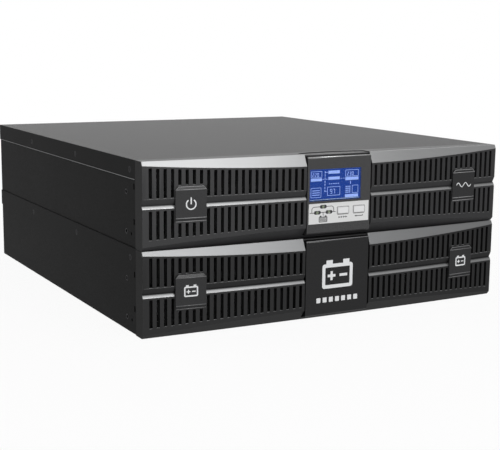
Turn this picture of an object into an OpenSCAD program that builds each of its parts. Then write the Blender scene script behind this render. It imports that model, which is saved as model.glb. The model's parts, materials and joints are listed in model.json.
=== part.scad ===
// Rack or shelf uninterruptible power supply: a 2U UPS module stacked on a 2U battery box.
// X runs along the front, the front faces -Y, Z is up. The origin is the middle of the footprint.

/* [Overall] */
// Width over the covers and bezels
body_w = 440; // [430:1:445]
// Depth of each sheet-metal case, without bezel and rear fittings
case_d = 468; // [460:1:480]
// Height of one module
module_h = 87.8; // [87:0.1:88]
// Thickness of the stacking pads between the two modules
pad_t = 0.4; // [0.3:0.1:1]

/* [Sheet metal] */
// Thickness of the chassis sheet
sheet = 1.2; // [1:0.1:1.5]
// Thickness of the top cover sheet
cover_sheet = 1; // [0.8:0.1:1.2]
// How far the cover's side flange comes down
flange_h = 19; // [15:1:22]

/* [Bezel] */
// How far the bezel stands out at the middle
bezel_mid = 28.5; // [26:0.5:30]
// How far the bezel stands out at its ends
bezel_end = 17.7; // [16:0.1:20]
// Depth of the flat top behind the facet at the middle
brow_mid = 23; // [21:0.5:24]
// Depth of the flat top behind the facet at the ends
brow_end = 15.87; // [14:0.01:16]
// Lean of the upper facet from the vertical, in degrees
facet_lean = 24.6; // [20:0.1:30]
// Depth of the underside behind the lower facet at the middle
sole_mid = 18; // [16:0.5:21]
// Depth of the underside behind the lower facet at the ends
sole_end = 14.5; // [13:0.1:15]
// Lean of the lower facet from the vertical, in degrees
sole_lean = 41; // [35:1:45]
// Wall thickness of the moulding
bezel_wall = 3; // [2.5:0.1:3.5]
// Thickness of the silver crescent trim
trim_t = 1.2; // [1:0.1:1.5]

/* [Grille] */
// Number of slots in each half
slot_count = 23; // [20:1:23]
// Distance between slots
slot_pitch = 7.55; // [7:0.05:7.6]
// Width of a slot
slot_w = 3.4; // [2.5:0.1:3.6]
// Distance from the middle to the first slot
slot_first = 45.7; // [45:0.1:47]

/* [Display] */
// Width of the centre insert
insert_w = 78.6; // [76:0.1:80]
// Gap around the centre insert
insert_gap = 1.4; // [1:0.1:1.6]

/* [Hidden] */
half_w = body_w / 2;
rear_reach = 8;
total_d = bezel_mid + case_d + rear_reach;
case_y = bezel_mid - total_d / 2;
ups_z = module_h + pad_t;
tub_x = half_w - cover_sheet;
inner_x = tub_x - sheet;
inner_top = module_h - cover_sheet;
mid_z = module_h / 2;
curve_steps = 44;

// grille rows, channel and badge, measured up from the module's underside
row_low_top = 39.3;
row_high_foot = 51.4;
slot_foot_end = 10;
slot_foot_mid = 15.5;
slot_head_gap = 2;
brow_lip = 0.2;
channel_low = 40.4;
channel_high = 51;
channel_depth = 3;
strip_low = 41;
strip_high = 44.4;
strip_lean = 35;
badge_x = 170.3;
badge_w = 33;
badge_low = 27.4;
badge_high = 62.2;
badge_depth = 1;
badge_proud = 1.2;
badge_first_slot = 15;
badge_last_slot = 18;
pocket_x = insert_w / 2 + insert_gap;

// centre insert
insert_front = 27.6;
insert_low = 4;
insert_high = 85.4;
insert_wall = 2;
insert_back = 9;
lcd_x = [-36.1, 26.5];
lcd_z = [39.3, 71.8];
panel_x = [-37.6, 37.6];
panel_z = [14.8, 36.5];
panel_t = 0.8;
panel_proud = 0.3;
button_x = [4.9, 25];
button_z = 27.7;
button_w = 13.3;
button_h = 6.6;
button_gap = 0.3;
light_at = [[-19.8, 32.9], [-27, 26.8], [-12.7, 27.3]];
light_r = 1.5;
board_y = -12;

// side of the case
cover_screw_y = [14, 171, 328];
cover_screw_drop = 10.5;
ear_hole_y = 25;
ear_hole_z = [14, 54];
ear_hole_r = 2;
ear_boss_r = 3.6;
ear_boss_l = 3;
latch_z = [26, 61];
post_x = [60, 195];
post_r = 3;
post_reach = 8;

// rear of the UPS module
fan_x = [-168, -84];
fan_size = 80;
fan_t = 25;
fan_bore_r = 38;
fan_hole_pitch = 71.5;
fan_hole_r = 2.15;
fan_shaft_r = 1.5;
fan_back = case_d - sheet;
outlet_x = [50, 86, 122];
outlet_z = [25.4, 62.4];
reset_x = 150;
reset_z = [61, 27];
inlet_at = [186, 62];
link_at = [184, 25];
slot_cover_at = [-4, 68];
usb_at = [-26, 38];
serial_at = [8, 38];
network_at = [-10, 14.5];
earth_at = [205, 43];

// inside of the UPS module
board_z = 9;
board_t = 1.6;
board_top = board_z + board_t;
standoff_x = [-200, 0, 200];
standoff_y = [70, 125, 426];
shelf_post_x = [-34, 26];
shelf_post_y = [312, 428];
sink_x = [-205, -120];
sink_w = 70;
sink_l = 270;
sink_h = 60;
sink_y = 140;
cap_r = 17.5;
cap_h = 50;

// inside and rear of the battery box
cell_w = 94;
cell_l = 151;
cell_h = 65;
cell_x = [-159, -53, 53, 159];
cell_y = [28, 183];
cell_z = 2.4;
box_link_x = [90, 150];
box_link_z = 44;
breaker_w = 36;
breaker_h = 81;
breaker_back = 399;
nose_h = 45;
toggle_r = 7.5;
toggle_y = case_d - 7;
toggle_tilt = -25;
toggle_l = 15.15;
toggle_w = 24;

// ---------- shared helpers ----------

// Moves a module drawn from its own front lower edge to its place in the stack
module in_ups() {
  translate([0, case_y, ups_z]) children();
}

module in_box() {
  translate([0, case_y, 0]) children();
}

// A box given by its low and high corner
module span(low, high) {
  translate(low) cube(high - low);
}

// A cylinder along Y, from y0 to y1
module rod_y(r, y0, y1, sides = 48) {
  translate([0, y0, 0]) rotate([-90, 0, 0]) cylinder(r = r, h = y1 - y0, $fn = sides);
}

// A cylinder along X, from x0 to x1
module rod_x(r, x0, x1, sides = 48) {
  translate([x0, 0, 0]) rotate([0, 90, 0]) cylinder(r = r, h = x1 - x0, $fn = sides);
}

module at_xz(p) {
  translate([p[0], 0, p[1]]) children();
}

// ---------- sheet metal of either module ----------

module tub(vent_rows) {
  difference() {
    union() {
      span([-tub_x, 0, 0], [tub_x, case_d, sheet]);
      for (side = [-1, 1]) {
        span([side > 0 ? inner_x : -tub_x, 0, 0], [side > 0 ? tub_x : -inner_x, case_d, inner_top]);
        for (z = ear_hole_z)
          translate([0, ear_hole_y, z])
            rod_x(ear_boss_r, side > 0 ? inner_x - ear_boss_l : -inner_x - 0.1,
                  side > 0 ? inner_x + 0.1 : -inner_x + ear_boss_l);
      }
      span([-inner_x, 0, 0], [inner_x, sheet, inner_top]);
    }
    for (z = ear_hole_z)
      translate([0, ear_hole_y, z]) {
        rod_x(ear_hole_r, inner_x - ear_boss_l - 1, tub_x + 1);
        rod_x(ear_hole_r, -tub_x - 1, -inner_x + ear_boss_l + 1);
      }
    translate([0, 12.5, 13]) rod_x(1.6, -tub_x - 1, tub_x + 1);
    for (z = latch_z)
      span([-tub_x - 1, 3.5, z - 3], [tub_x + 1, 6.5, z + 3]);
    for (y = cover_screw_y)
      translate([0, y, module_h - cover_screw_drop]) rod_x(1.6, -tub_x - 1, tub_x + 1);
    // front plate: peg holes, tongue notches and air slots
    for (side = [-1, 1]) {
      for (x = post_x)
        at_xz([side * x, mid_z + 1.6]) rod_y(post_r + 0.5, -1, sheet + 1);
      for (z = latch_z)
        span([side > 0 ? inner_x - 2.4 : -inner_x, -1, z - 3.4],
             [side > 0 ? inner_x : -inner_x + 2.4, sheet, z + 3.4]);
      for (i = [0 : vent_rows - 1])
        for (z = [12, 56])
          at_xz([side * (70 + i * 8), 0])
            span([-1.7, -1, z], [1.7, sheet + 1, z + 22]);
    }
  }
}

module cover() {
  difference() {
    union() {
      span([-half_w, 0, inner_top], [half_w, case_d, module_h]);
      for (side = [-1, 1])
        span([side > 0 ? tub_x : -half_w, 0, module_h - flange_h],
             [side > 0 ? half_w : -tub_x, case_d, module_h]);
    }
    for (y = cover_screw_y)
      for (side = [-1, 1])
        translate([side * half_w, y, module_h - cover_screw_drop])
          rotate([0, side * 90, 0]) translate([0, 0, -cover_sheet - 0.1])
            cylinder(r1 = 2.2, r2 = 3.5, h = cover_sheet + 0.2, $fn = 48);
  }
}

module side_screws() {
  for (y = cover_screw_y)
    for (side = [-1, 1])
      translate([side * half_w, y, module_h - cover_screw_drop]) rotate([0, side * 90, 0])
        difference() {
          union() {
            translate([0, 0, -cover_sheet]) cylinder(r1 = 1.9, r2 = 3.2, h = cover_sheet - 0.1, $fn = 48);
            translate([0, 0, -6]) cylinder(r = 1.5, h = 5.1, $fn = 48);
          }
          translate([-2.2, -0.4, -0.6]) cube([4.4, 0.8, 1]);
          translate([-0.4, -2.2, -0.6]) cube([0.8, 4.4, 1]);
        }
}

// A pan-head screw in a rear fitting, head outwards, y0 is the face under the head
module rear_screw(y0, head_r = 3, shank_r = 1.4, shank_l = 8, head_h = 1.8) {
  difference() {
    union() {
      rod_y(head_r, y0, y0 + head_h);
      rod_y(shank_r, y0 - shank_l, y0 + 0.1);
    }
    span([-head_r * 0.6, y0 + head_h - 0.8, -0.4], [head_r * 0.6, y0 + head_h + 1, 0.4]);
    span([-0.4, y0 + head_h - 0.8, -head_r * 0.6], [0.4, y0 + head_h + 1, head_r * 0.6]);
  }
}

// ---------- curved bezel of either module ----------

// A depth that falls from mid at the centre to end at the sides
function bow(mid, end, x) = mid - (mid - end) * pow(x / half_w, 2);
function reach(x) = bow(bezel_mid, bezel_end, x);
function facet_drop(x) = (reach(x) - bow(brow_mid, brow_end, x)) / tan(facet_lean);

// Everything behind a bowed upright face. The face can lean back as it rises past z_ref.
module behind_face(mid, end, lean = 0, z_ref = 0) {
  face = [for (i = [0 : curve_steps])
    let (x = -half_w + i * body_w / curve_steps)
    [x, -bow(mid, end, x) * cos(lean)]];
  translate([0, 0, z_ref]) rotate([-lean, 0, 0])
    linear_extrude(height = 260, center = true)
      polygon(concat(face, [[half_w, 70], [-half_w, 70]]));
}

// Everything below the crescents' lower edge, a little under the line where facet and front meet.
// Its corners lie between those of the bowed faces, so no more than three planes meet in a point.
module below_brow() {
  step = body_w / curve_steps;
  edge = [for (i = [0 : curve_steps + 1])
    let (x = -half_w + (i - 0.5) * step)
    [x, module_h - facet_drop(x) - brow_lip]];
  translate([0, 1, 0]) rotate([90, 0, 0]) linear_extrude(height = 60)
    polygon(concat([[half_w + step / 2, -1], [-half_w - step / 2, -1]], edge));
}

module upside_down() {
  translate([0, 0, module_h]) mirror([0, 0, 1]) children();
}

// The bezel's outer form, drawn in by the given amounts at the front, at both facets and at the ends
module bezel_form(front = 0, top = 0, bottom = 0, ends = 0, lid = 0) {
  top_in = top / cos(facet_lean);
  sole_in = bottom / cos(sole_lean);
  intersection() {
    behind_face(bezel_mid - front, bezel_end - front);
    behind_face(brow_mid - top_in, brow_end - top_in, facet_lean, module_h);
    upside_down()
      behind_face(sole_mid - sole_in, sole_end - sole_in, sole_lean, module_h);
    span([-half_w + ends, -40, lid], [half_w - ends, ends > 0 ? 10 : -0.3, module_h - lid]);
  }
}

function slot_x(i) = slot_first + i * slot_pitch;
function slot_foot(x) = bow(slot_foot_mid, slot_foot_end, x);
function slot_head(x) = module_h - facet_drop(x) - slot_head_gap;
function under_badge(i) = i >= badge_first_slot && i <= badge_last_slot;

module grille_slots() {
  for (i = [0 : slot_count - 1])
    for (side = [-1, 1]) {
      x = side * slot_x(i);
      low_top = under_badge(i) ? badge_low - 1.4 : row_low_top;
      high_foot = under_badge(i) ? badge_high + 1.4 : row_high_foot;
      span([x - slot_w / 2, -40, slot_foot(slot_x(i))], [x + slot_w / 2, -10, low_top]);
      span([x - slot_w / 2, -40, high_foot], [x + slot_w / 2, -10, slot_head(slot_x(i))]);
    }
}

// The V-shaped groove between the two grille rows
module channel_cut() {
  difference() {
    intersection() {
      span([-half_w - 1, -40, channel_low], [half_w + 1, -5, channel_high]);
      upside_down()
        difference() {
          span([-half_w - 1, -40, 0], [half_w + 1, 10, module_h]);
          behind_face(bezel_mid, bezel_end, 25, module_h - channel_high);
        }
    }
    behind_face(bezel_mid - channel_depth, bezel_end - channel_depth);
    channel_ramp(0);
  }
}

// The lower slope of the groove, on which the silver strip lies
module channel_ramp(lift) {
  behind_face(bezel_mid - 0.6 + lift, bezel_end - 0.6 + lift, strip_lean, strip_low);
}

module on_badge(side, x = badge_x) {
  slope = atan(2 * (bezel_mid - bezel_end) * x / (half_w * half_w));
  translate([side * x, -reach(x), 0]) rotate([0, 0, side * slope]) children();
}

module badge_plate() {
  mid = (badge_low + badge_high) / 2;
  tall = badge_high - badge_low;
  intersection() {
    rotate([90, 0, 90]) linear_extrude(height = badge_w, center = true)
      polygon([[badge_depth, badge_low], [badge_depth, badge_high], [-0.2, badge_high],
               [-badge_proud, badge_high - 3.2], [-badge_proud, badge_low + 3.6], [-0.2, badge_low]]);
    translate([0, 5, mid]) rotate([90, 0, 0]) linear_extrude(height = 10)
      polygon([[-badge_w / 2, -tall / 2], [badge_w / 2, -tall / 2], [badge_w / 2, tall / 2 - 4],
               [badge_w / 2 - 3, tall / 2], [-badge_w / 2 + 3, tall / 2], [-badge_w / 2, tall / 2 - 4]]);
  }
}

module badge_pocket() {
  span([-badge_w / 2 - 0.3, -8, badge_low - 0.3], [badge_w / 2 + 0.3, badge_depth, badge_high + 0.3]);
}

// Shallow finger scoop in the top, behind the centre insert
module top_scoop() {
  translate([0, -4 - 190, module_h - 0.8])
    intersection() {
      cylinder(r = 190, h = 5, $fn = 180);
      translate([-pocket_x, 120, 0]) cube([2 * pocket_x, 80, 5]);
    }
}

module bezel_shell() {
  difference() {
    union() {
      bezel_form(top = trim_t);
      intersection() {
        bezel_form();
        below_brow();
      }
    }
    difference() {
      bezel_form(front = bezel_wall, top = trim_t + 2.4, bottom = 2.4, ends = bezel_wall, lid = 1.8);
      // keeps a full wall behind the groove
      difference() {
        span([-half_w, -40, channel_low - 3], [half_w, -2, channel_high + 3]);
        behind_face(bezel_mid - channel_depth - bezel_wall, bezel_end - channel_depth - bezel_wall);
      }
      for (side = [-1, 1])
        on_badge(side) span([-badge_w / 2 - 3, -5, badge_low - 3], [badge_w / 2 + 3, 4, badge_high + 3]);
    }
    grille_slots();
    channel_cut();
    top_scoop();
    for (side = [-1, 1])
      on_badge(side) badge_pocket();
    span([-pocket_x, -40, insert_low - 1], [pocket_x, -insert_back + 2, insert_high + 0.6]);
  }
  for (side = [-1, 1]) {
    for (x = post_x)
      at_xz([side * x, mid_z + 1.6])
        rod_y(post_r, -reach(x) + channel_depth + bezel_wall - 0.5, post_reach);
    for (z = latch_z)
      span([side > 0 ? inner_x - 2 : -inner_x + 0.6, -4, z - 2.5],
           [side > 0 ? inner_x - 0.6 : -inner_x + 2, post_reach, z + 2.5]);
  }
}

module facet_trims() {
  difference() {
    bezel_form();
    behind_face(brow_mid - trim_t / cos(facet_lean), brow_end - trim_t / cos(facet_lean),
                facet_lean, module_h);
    below_brow();
    span([-pocket_x, -40, 0], [pocket_x, 1, module_h + 1]);
  }
}

module channel_strips() {
  difference() {
    intersection() {
      behind_face(bezel_mid - 0.1, bezel_end - 0.1);
      channel_ramp(0.9);
      span([-half_w, -40, strip_low], [half_w, -1, strip_high]);
    }
    channel_ramp(0);
    span([-pocket_x, -40, 0], [pocket_x, 1, module_h]);
    for (side = [-1, 1])
      on_badge(side) badge_pocket();
  }
}

module badges() {
  for (side = [-1, 1])
    on_badge(side) badge_plate();
}

// Front block of the centre insert, with a rounded top edge and a chamfer along the bottom
module insert_block(w, low, high, back) {
  round_r = 2;
  chamfer = 1.6;
  translate([-w / 2, 0, 0]) {
    difference() {
      span([0, -insert_front, low], [w, -back, high - round_r]);
      translate([-1, -insert_front - chamfer, low + 2 * chamfer]) rotate([-45, 0, 0])
        translate([0, 0, -2 * chamfer]) cube([w + 2, 5 * chamfer, 2 * chamfer]);
    }
    span([0, -insert_front + round_r, high - round_r - 0.1], [w, -back, high]);
    translate([0, -insert_front + round_r, high - round_r])
      intersection() {
        rod_x(round_r, 0, w);
        span([0, -round_r - 1, -0.5], [w, 0.5, round_r + 1]);
      }
  }
}

module insert_lugs() {
  for (side = [-1, 1])
    for (z = [12, 62])
      span([side > 0 ? insert_w / 2 - 0.5 : -pocket_x - 3, -24.8, z],
           [side > 0 ? pocket_x + 3 : -insert_w / 2 + 0.5, -22.8, z + 8]);
}

module insert_hollow() {
  span([-insert_w / 2 + insert_wall, -insert_front + insert_wall, insert_low + insert_wall],
       [insert_w / 2 - insert_wall, 1, insert_high - insert_wall]);
}

// ---------- UPS module: sheet metal and screws ----------

module ups_chassis() {
  color("#2b2b2d") in_ups() tub(17);
}

module ups_top_cover() {
  color("#303032") in_ups() cover();
}

module ups_screws() {
  color("#6a6a6c") in_ups() {
    side_screws();
    for (dx = [-20, 20])
      at_xz([inlet_at[0] + dx, inlet_at[1]]) rear_screw(case_d + 2, 2.6, 1.4, 8, 1.6);
    for (dx = [-27, 27])
      at_xz([slot_cover_at[0] + dx, slot_cover_at[1]]) rear_screw(case_d + 1.2, 2.8, 1.4, 6, 1.8);
    at_xz(earth_at) rear_screw(case_d + 1, 3.6, 1.9, 8, 2.4);
    at_xz(earth_at)
      difference() {
        rod_y(4.2, case_d, case_d + 0.9);
        rod_y(2.1, case_d - 1, case_d + 2);
      }
  }
}

module stacking_pads() {
  color("#1a1a1a") translate([0, case_y, module_h])
    for (x = [-190, 190])
      for (y = [30, case_d - 30])
        translate([x, y, 0]) cylinder(r = 8, h = pad_t, $fn = 48);
}

module ups_rear_panel() {
  color("#262628") in_ups()
    difference() {
      span([-inner_x, case_d - sheet, sheet], [inner_x, case_d, inner_top]);
      for (x = fan_x) {
        at_xz([x, mid_z]) rod_y(fan_bore_r, case_d - 5, case_d + 1);
        for (dx = [-1, 1])
          for (dz = [-1, 1])
            at_xz([x + dx * fan_hole_pitch / 2, mid_z + dz * fan_hole_pitch / 2])
              rod_y(fan_hole_r, case_d - 5, case_d + 1);
      }
      for (x = outlet_x)
        for (z = outlet_z)
          at_xz([x, z]) span([-13.7, case_d - 5, -10.5], [13.7, case_d + 1, 10.5]);
      for (z = reset_z)
        at_xz([reset_x, z]) rod_y(6.2, case_d - 5, case_d + 1);
      at_xz(inlet_at) span([-14.2, case_d - 5, -10.2], [14.2, case_d + 1, 10.2]);
      for (dx = [-20, 20])
        at_xz([inlet_at[0] + dx, inlet_at[1]]) rod_y(1.5, case_d - 5, case_d + 1);
      at_xz(link_at) span([-21.2, case_d - 5, -9.2], [21.2, case_d + 1, 9.2]);
      at_xz(usb_at) span([-6.2, case_d - 5, -5.7], [6.2, case_d + 1, 5.7]);
      at_xz(serial_at) span([-9.8, case_d - 5, -5.4], [9.8, case_d + 1, 5.4]);
      for (dx = [-12.5, 12.5])
        at_xz([serial_at[0] + dx, serial_at[1]]) rod_y(1.6, case_d - 5, case_d + 1);
      at_xz(network_at) span([-16.7, case_d - 5, -7.2], [16.7, case_d + 1, 7.2]);
      at_xz(slot_cover_at) span([-23, case_d - 5, -10], [23, case_d + 1, 10]);
      for (dx = [-27, 27])
        at_xz([slot_cover_at[0] + dx, slot_cover_at[1]]) rod_y(1.5, case_d - 5, case_d + 1);
      at_xz(earth_at) rod_y(2, case_d - 5, case_d + 1);
    }
}

module slot_cover() {
  color("#2a2a2c") in_ups()
    difference() {
      union() {
        at_xz(slot_cover_at) span([-31, case_d, -13], [31, case_d + 1.2, 13]);
        at_xz(slot_cover_at) span([-22, case_d - 4, -9], [22, case_d + 0.1, 9]);
      }
      for (dx = [-27, 27])
        at_xz([slot_cover_at[0] + dx, slot_cover_at[1]]) rod_y(1.5, case_d - 5, case_d + 3);
    }
}

// ---------- UPS module: fans ----------

module fan_frame() {
  y0 = fan_back - fan_t;
  difference() {
    union() {
      difference() {
        span([-fan_size / 2, y0, -fan_size / 2], [fan_size / 2, fan_back, fan_size / 2]);
        rod_y(fan_bore_r, y0 - 1, fan_back + 1, 96);
      }
      // motor base and its struts, on the inner side
      rod_y(17, y0, y0 + 4);
      for (a = [45 : 90 : 315])
        rotate([0, a, 0]) span([-2, y0, 10], [2, y0 + 3, fan_bore_r + 0.6]);
    }
    for (dx = [-1, 1])
      for (dz = [-1, 1])
        at_xz([dx * fan_hole_pitch / 2, dz * fan_hole_pitch / 2])
          rod_y(fan_hole_r, y0 - 1, fan_back + 1);
    rod_y(fan_shaft_r + 0.05, y0 + 1, y0 + 5);
  }
}

module fan_frames() {
  color("#1c1c1e") in_ups()
    for (x = fan_x)
      at_xz([x, mid_z]) fan_frame();
}

module fan_rotor() {
  y0 = fan_back - fan_t + 5;
  blades = 7;
  union() {
    rod_y(15, y0, y0 + 17);
    rod_y(fan_shaft_r, y0 - 3.5, y0 + 1);
    intersection() {
      difference() {
        rod_y(fan_bore_r - 1.4, y0 + 0.5, y0 + 16.5, 96);
        rod_y(14, y0, y0 + 17);
      }
      for (i = [0 : blades - 1])
        rotate([0, i * 360 / blades, 0]) translate([0, y0 + 8.5, 0]) rotate([0, 0, 38])
          span([-13, -0.8, 13], [13, 0.8, fan_bore_r]);
    }
  }
}

module fan_rotor_left() {
  color("#151517") in_ups() at_xz([fan_x[0], mid_z]) fan_rotor();
}

module fan_rotor_right() {
  color("#151517") in_ups() at_xz([fan_x[1], mid_z]) fan_rotor();
}

module fan_guard() {
  difference() {
    union() {
      for (r = [10, 17.5, 25, 32.5, 38.8])
        difference() {
          rod_y(r, case_d + 0.6, case_d + 2, 96);
          rod_y(r - 1.6, case_d, case_d + 3, 96);
        }
      for (a = [0, 90])
        rotate([0, a + 45, 0]) span([-0.8, case_d + 0.6, -39], [0.8, case_d + 2, 39]);
      for (dx = [-1, 1])
        for (dz = [-1, 1])
          at_xz([dx * fan_hole_pitch / 2, dz * fan_hole_pitch / 2]) rod_y(4, case_d, case_d + 1.6);
      for (dx = [-1, 1])
        for (dz = [-1, 1])
          rotate([0, dx * (dz > 0 ? 45 : 135), 0])
            span([-1.2, case_d + 0.2, 37.5], [1.2, case_d + 1.6, 48]);
    }
    for (dx = [-1, 1])
      for (dz = [-1, 1])
        at_xz([dx * fan_hole_pitch / 2, dz * fan_hole_pitch / 2])
          rod_y(fan_hole_r, case_d - 1, case_d + 3);
  }
}

module fan_guards() {
  color("silver") in_ups()
    for (x = fan_x)
      at_xz([x, mid_z]) fan_guard();
}

module fan_screws() {
  color("#8a8a8c") in_ups()
    for (x = fan_x)
      for (dx = [-1, 1])
        for (dz = [-1, 1])
          at_xz([x + dx * fan_hole_pitch / 2, mid_z + dz * fan_hole_pitch / 2])
            rear_screw(case_d + 1.6, 3.6, 1.95, 24, 2.2);
}

// ---------- UPS module: rear connectors ----------

// Outline of a mains connector: a rectangle with its two upper corners cut
module mains_outline(w, h, cut) {
  polygon([[-w / 2, -h / 2], [w / 2, -h / 2], [w / 2, h / 2 - cut], [w / 2 - cut, h / 2],
           [-w / 2 + cut, h / 2], [-w / 2, h / 2 - cut]]);
}

module mains_prism(w, h, cut, y0, y1) {
  translate([0, y1, 0]) rotate([90, 0, 0]) linear_extrude(height = y1 - y0) mains_outline(w, h, cut);
}

module mains_inlet() {
  color("#111113") in_ups() at_xz(inlet_at) {
    difference() {
      union() {
        span([-25, case_d, -13.5], [25, case_d + 2, 13.5]);
        span([-14, case_d - 24, -10], [14, case_d + 0.1, 10]);
      }
      mains_prism(24, 16, 4, case_d - 15, case_d + 3);
      for (dx = [-20, 20])
        translate([dx, 0, 0]) rod_y(1.6, case_d - 1, case_d + 3);
    }
    for (p = [[-7, -2.5], [7, -2.5], [0, 2.5]])
      at_xz(p) span([-1, case_d - 15.5, -2], [1, case_d - 1, 2]);
  }
}

module outlet_socket() {
  difference() {
    union() {
      span([-16, case_d, -12.75], [16, case_d + 1.6, 12.75]);
      span([-13.5, case_d - 22, -10.25], [13.5, case_d + 0.1, 10.25]);
    }
    difference() {
      mains_prism(24.4, 16.8, 4.2, case_d - 15, case_d + 3);
      mains_prism(21.6, 14, 3.6, case_d - 16, case_d + 0.6);
    }
    for (p = [[-7, 1.6], [7, 1.6], [0, -2.6]])
      at_xz(p) span([-1.2, case_d - 14, -2.3], [1.2, case_d + 2, 2.3]);
  }
}

module outlet_sockets() {
  color("#111113") in_ups()
    for (x = outlet_x)
      for (z = outlet_z)
        at_xz([x, z]) outlet_socket();
}

module reset_breakers() {
  color("#1a1a1c") in_ups()
    for (z = reset_z)
      at_xz([reset_x, z])
        difference() {
          union() {
            span([-8, case_d - 36, -13], [8, case_d - 8, 13]);
            rod_y(6, case_d - 8.1, case_d + 4.4);
            translate([0, case_d + 2.6, 0]) rotate([90, 0, 0]) cylinder(r = 9, h = 2.6, $fn = 6);
          }
          rod_y(4.3, case_d - 14, case_d + 6);
        }
}

module reset_button() {
  rod_y(4, case_d - 11, case_d + 6);
  rod_y(2.4, case_d + 5.9, case_d + 6.4);
}

module input_reset_button() {
  color("#d8d8d6") in_ups() at_xz([reset_x, reset_z[0]]) reset_button();
}

module output_reset_button() {
  color("#d8d8d6") in_ups() at_xz([reset_x, reset_z[1]]) reset_button();
}

module usb_port() {
  color("#c4c4c6") in_ups() at_xz(usb_at) {
    difference() {
      span([-6, case_d - 16, -5.5], [6, case_d + 0.6, 5.5]);
      span([-4.2, case_d - 9, -3.9], [4.2, case_d + 1, 3.9]);
    }
    span([-2.8, case_d - 9.5, -1.6], [2.8, case_d - 0.6, 1.6]);
  }
}

module serial_port() {
  color("#b8b8ba") in_ups() at_xz(serial_at) {
    difference() {
      union() {
        span([-15.4, case_d, -6.2], [15.4, case_d + 0.8, 6.2]);
        translate([0, case_d + 5.8, 0]) rotate([90, 0, 0]) linear_extrude(height = 18)
          polygon([[-7.4, -4.2], [7.4, -4.2], [8.6, 4.2], [-8.6, 4.2]]);
        for (dx = [-12.5, 12.5])
          translate([dx, case_d + 4.8, 0]) rotate([90, 0, 0]) cylinder(r = 2.7, h = 4.2, $fn = 6);
      }
      for (i = [0 : 4])
        translate([-5.5 + i * 2.75, 0, 1.5]) rod_y(0.6, case_d, case_d + 6, 24);
      for (i = [0 : 3])
        translate([-4.1 + i * 2.75, 0, -1.4]) rod_y(0.6, case_d, case_d + 6, 24);
      for (dx = [-12.5, 12.5])
        translate([dx, 0, 0]) rod_y(1.3, case_d - 1, case_d + 6);
    }
  }
}

module network_jacks() {
  color("#2c2c30") in_ups() at_xz(network_at)
    difference() {
      span([-16.5, case_d - 18, -7], [16.5, case_d + 0.8, 7]);
      for (dx = [-8, 8]) {
        span([dx - 5.9, case_d - 13, -4.2], [dx + 5.9, case_d + 2, 3.4]);
        span([dx - 2.8, case_d - 13, 3.3], [dx + 2.8, case_d + 2, 5.4]);
      }
    }
}

// Two-pole DC connector: a flanged block with one square mouth and one blade for each pole
module dc_connector() {
  difference() {
    union() {
      span([-24, case_d, -11], [24, case_d + 1.6, 11]);
      span([-21, case_d - 26, -9], [21, case_d + 3.4, 9]);
    }
    for (dx = [-10, 10])
      span([dx - 8, case_d - 18, -6.5], [dx + 8, case_d + 5, 6.5]);
  }
  for (dx = [-10, 10])
    span([dx - 5, case_d - 18.5, 2], [dx + 5, case_d - 2, 3.6]);
}

module ups_battery_connector() {
  color("#8f1f1c") in_ups() at_xz(link_at) dc_connector();
}

// ---------- UPS module: inside ----------

module power_board() {
  color("#1f5a33") in_ups()
    difference() {
      span([-208, 60, board_z], [208, 436, board_top]);
      for (x = standoff_x)
        for (y = standoff_y)
          translate([x, y, board_z - 1]) cylinder(r = 1.7, h = board_t + 2, $fn = 36);
    }
}

module board_standoffs() {
  color("#b9a46a") in_ups() {
    for (x = standoff_x)
      for (y = standoff_y)
        translate([x, y, sheet]) {
          cylinder(r = 3.4, h = board_z - sheet, $fn = 6);
          cylinder(r = 1.6, h = board_top + 2 - sheet, $fn = 36);
          translate([0, 0, board_top - sheet]) cylinder(r = 3, h = 2.2, $fn = 6);
        }
    for (x = shelf_post_x)
      for (y = shelf_post_y)
        translate([x, y, board_top]) cylinder(r = 3, h = 50 - board_top, $fn = 6);
  }
}

module heatsinks() {
  fins = 11;
  color("#a9acb0") in_ups()
    for (x = sink_x)
      translate([x, sink_y, board_top]) {
        cube([sink_w, sink_l, 6]);
        cube([5, sink_l, sink_h]);
        for (i = [1 : fins - 1])
          translate([i * (sink_w - 1.6) / (fins - 1), 0, 5.9]) cube([1.6, sink_l, sink_h - 16]);
      }
}

module power_transistors() {
  color("#19191b") in_ups()
    for (x = sink_x)
      for (i = [0 : 5])
        translate([x - 5, sink_y + 20 + i * 42, board_top + 14]) {
          cube([5, 16, 21]);
          for (j = [0 : 2])
            translate([1.8, 2.3 + j * 5, -14]) cube([0.8, 1.4, 14.1]);
        }
}

module bus_capacitors() {
  color("#26324a") in_ups()
    for (i = [0 : 2])
      for (j = [0 : 1])
        translate([66 + i * 44, 290 + j * 44, board_top]) cylinder(r = cap_r, h = cap_h, $fn = 64);
}

module inductors() {
  color("#b5722f") in_ups()
    for (i = [0 : 2])
      translate([50 + i * 60, 200, board_top])
        rotate_extrude($fn = 64) translate([12, 0]) square([14, 28]);
}

module relays() {
  color("#e3e0d4") in_ups()
    for (i = [0 : 4])
      translate([30 + i * 34, 120, board_top]) cube([22, 16, 16]);
}

module control_board() {
  color("#20603a") in_ups() {
    span([-40, 305, 50], [32, 436, 51.6]);
    span([-30, 330, 51.5], [-14, 346, 53.6]);
    span([4, 360, 51.5], [18, 370, 53]);
    span([-34, 420, 51.5], [24, 428, 60]);
  }
}

module emi_filter() {
  color("#a4a6a8") in_ups() span([150, 376, board_top], [204, 420, 50]);
}

// ---------- UPS module: bezel and display ----------

module ups_bezel() {
  color("#1d1d1f") in_ups() bezel_shell();
}

module ups_facet_trims() {
  color("#c9cbce") in_ups() facet_trims();
}

module ups_channel_strips() {
  color("#c9cbce") in_ups() channel_strips();
}

module ups_badges() {
  color("#202022") in_ups() badges();
}

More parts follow.
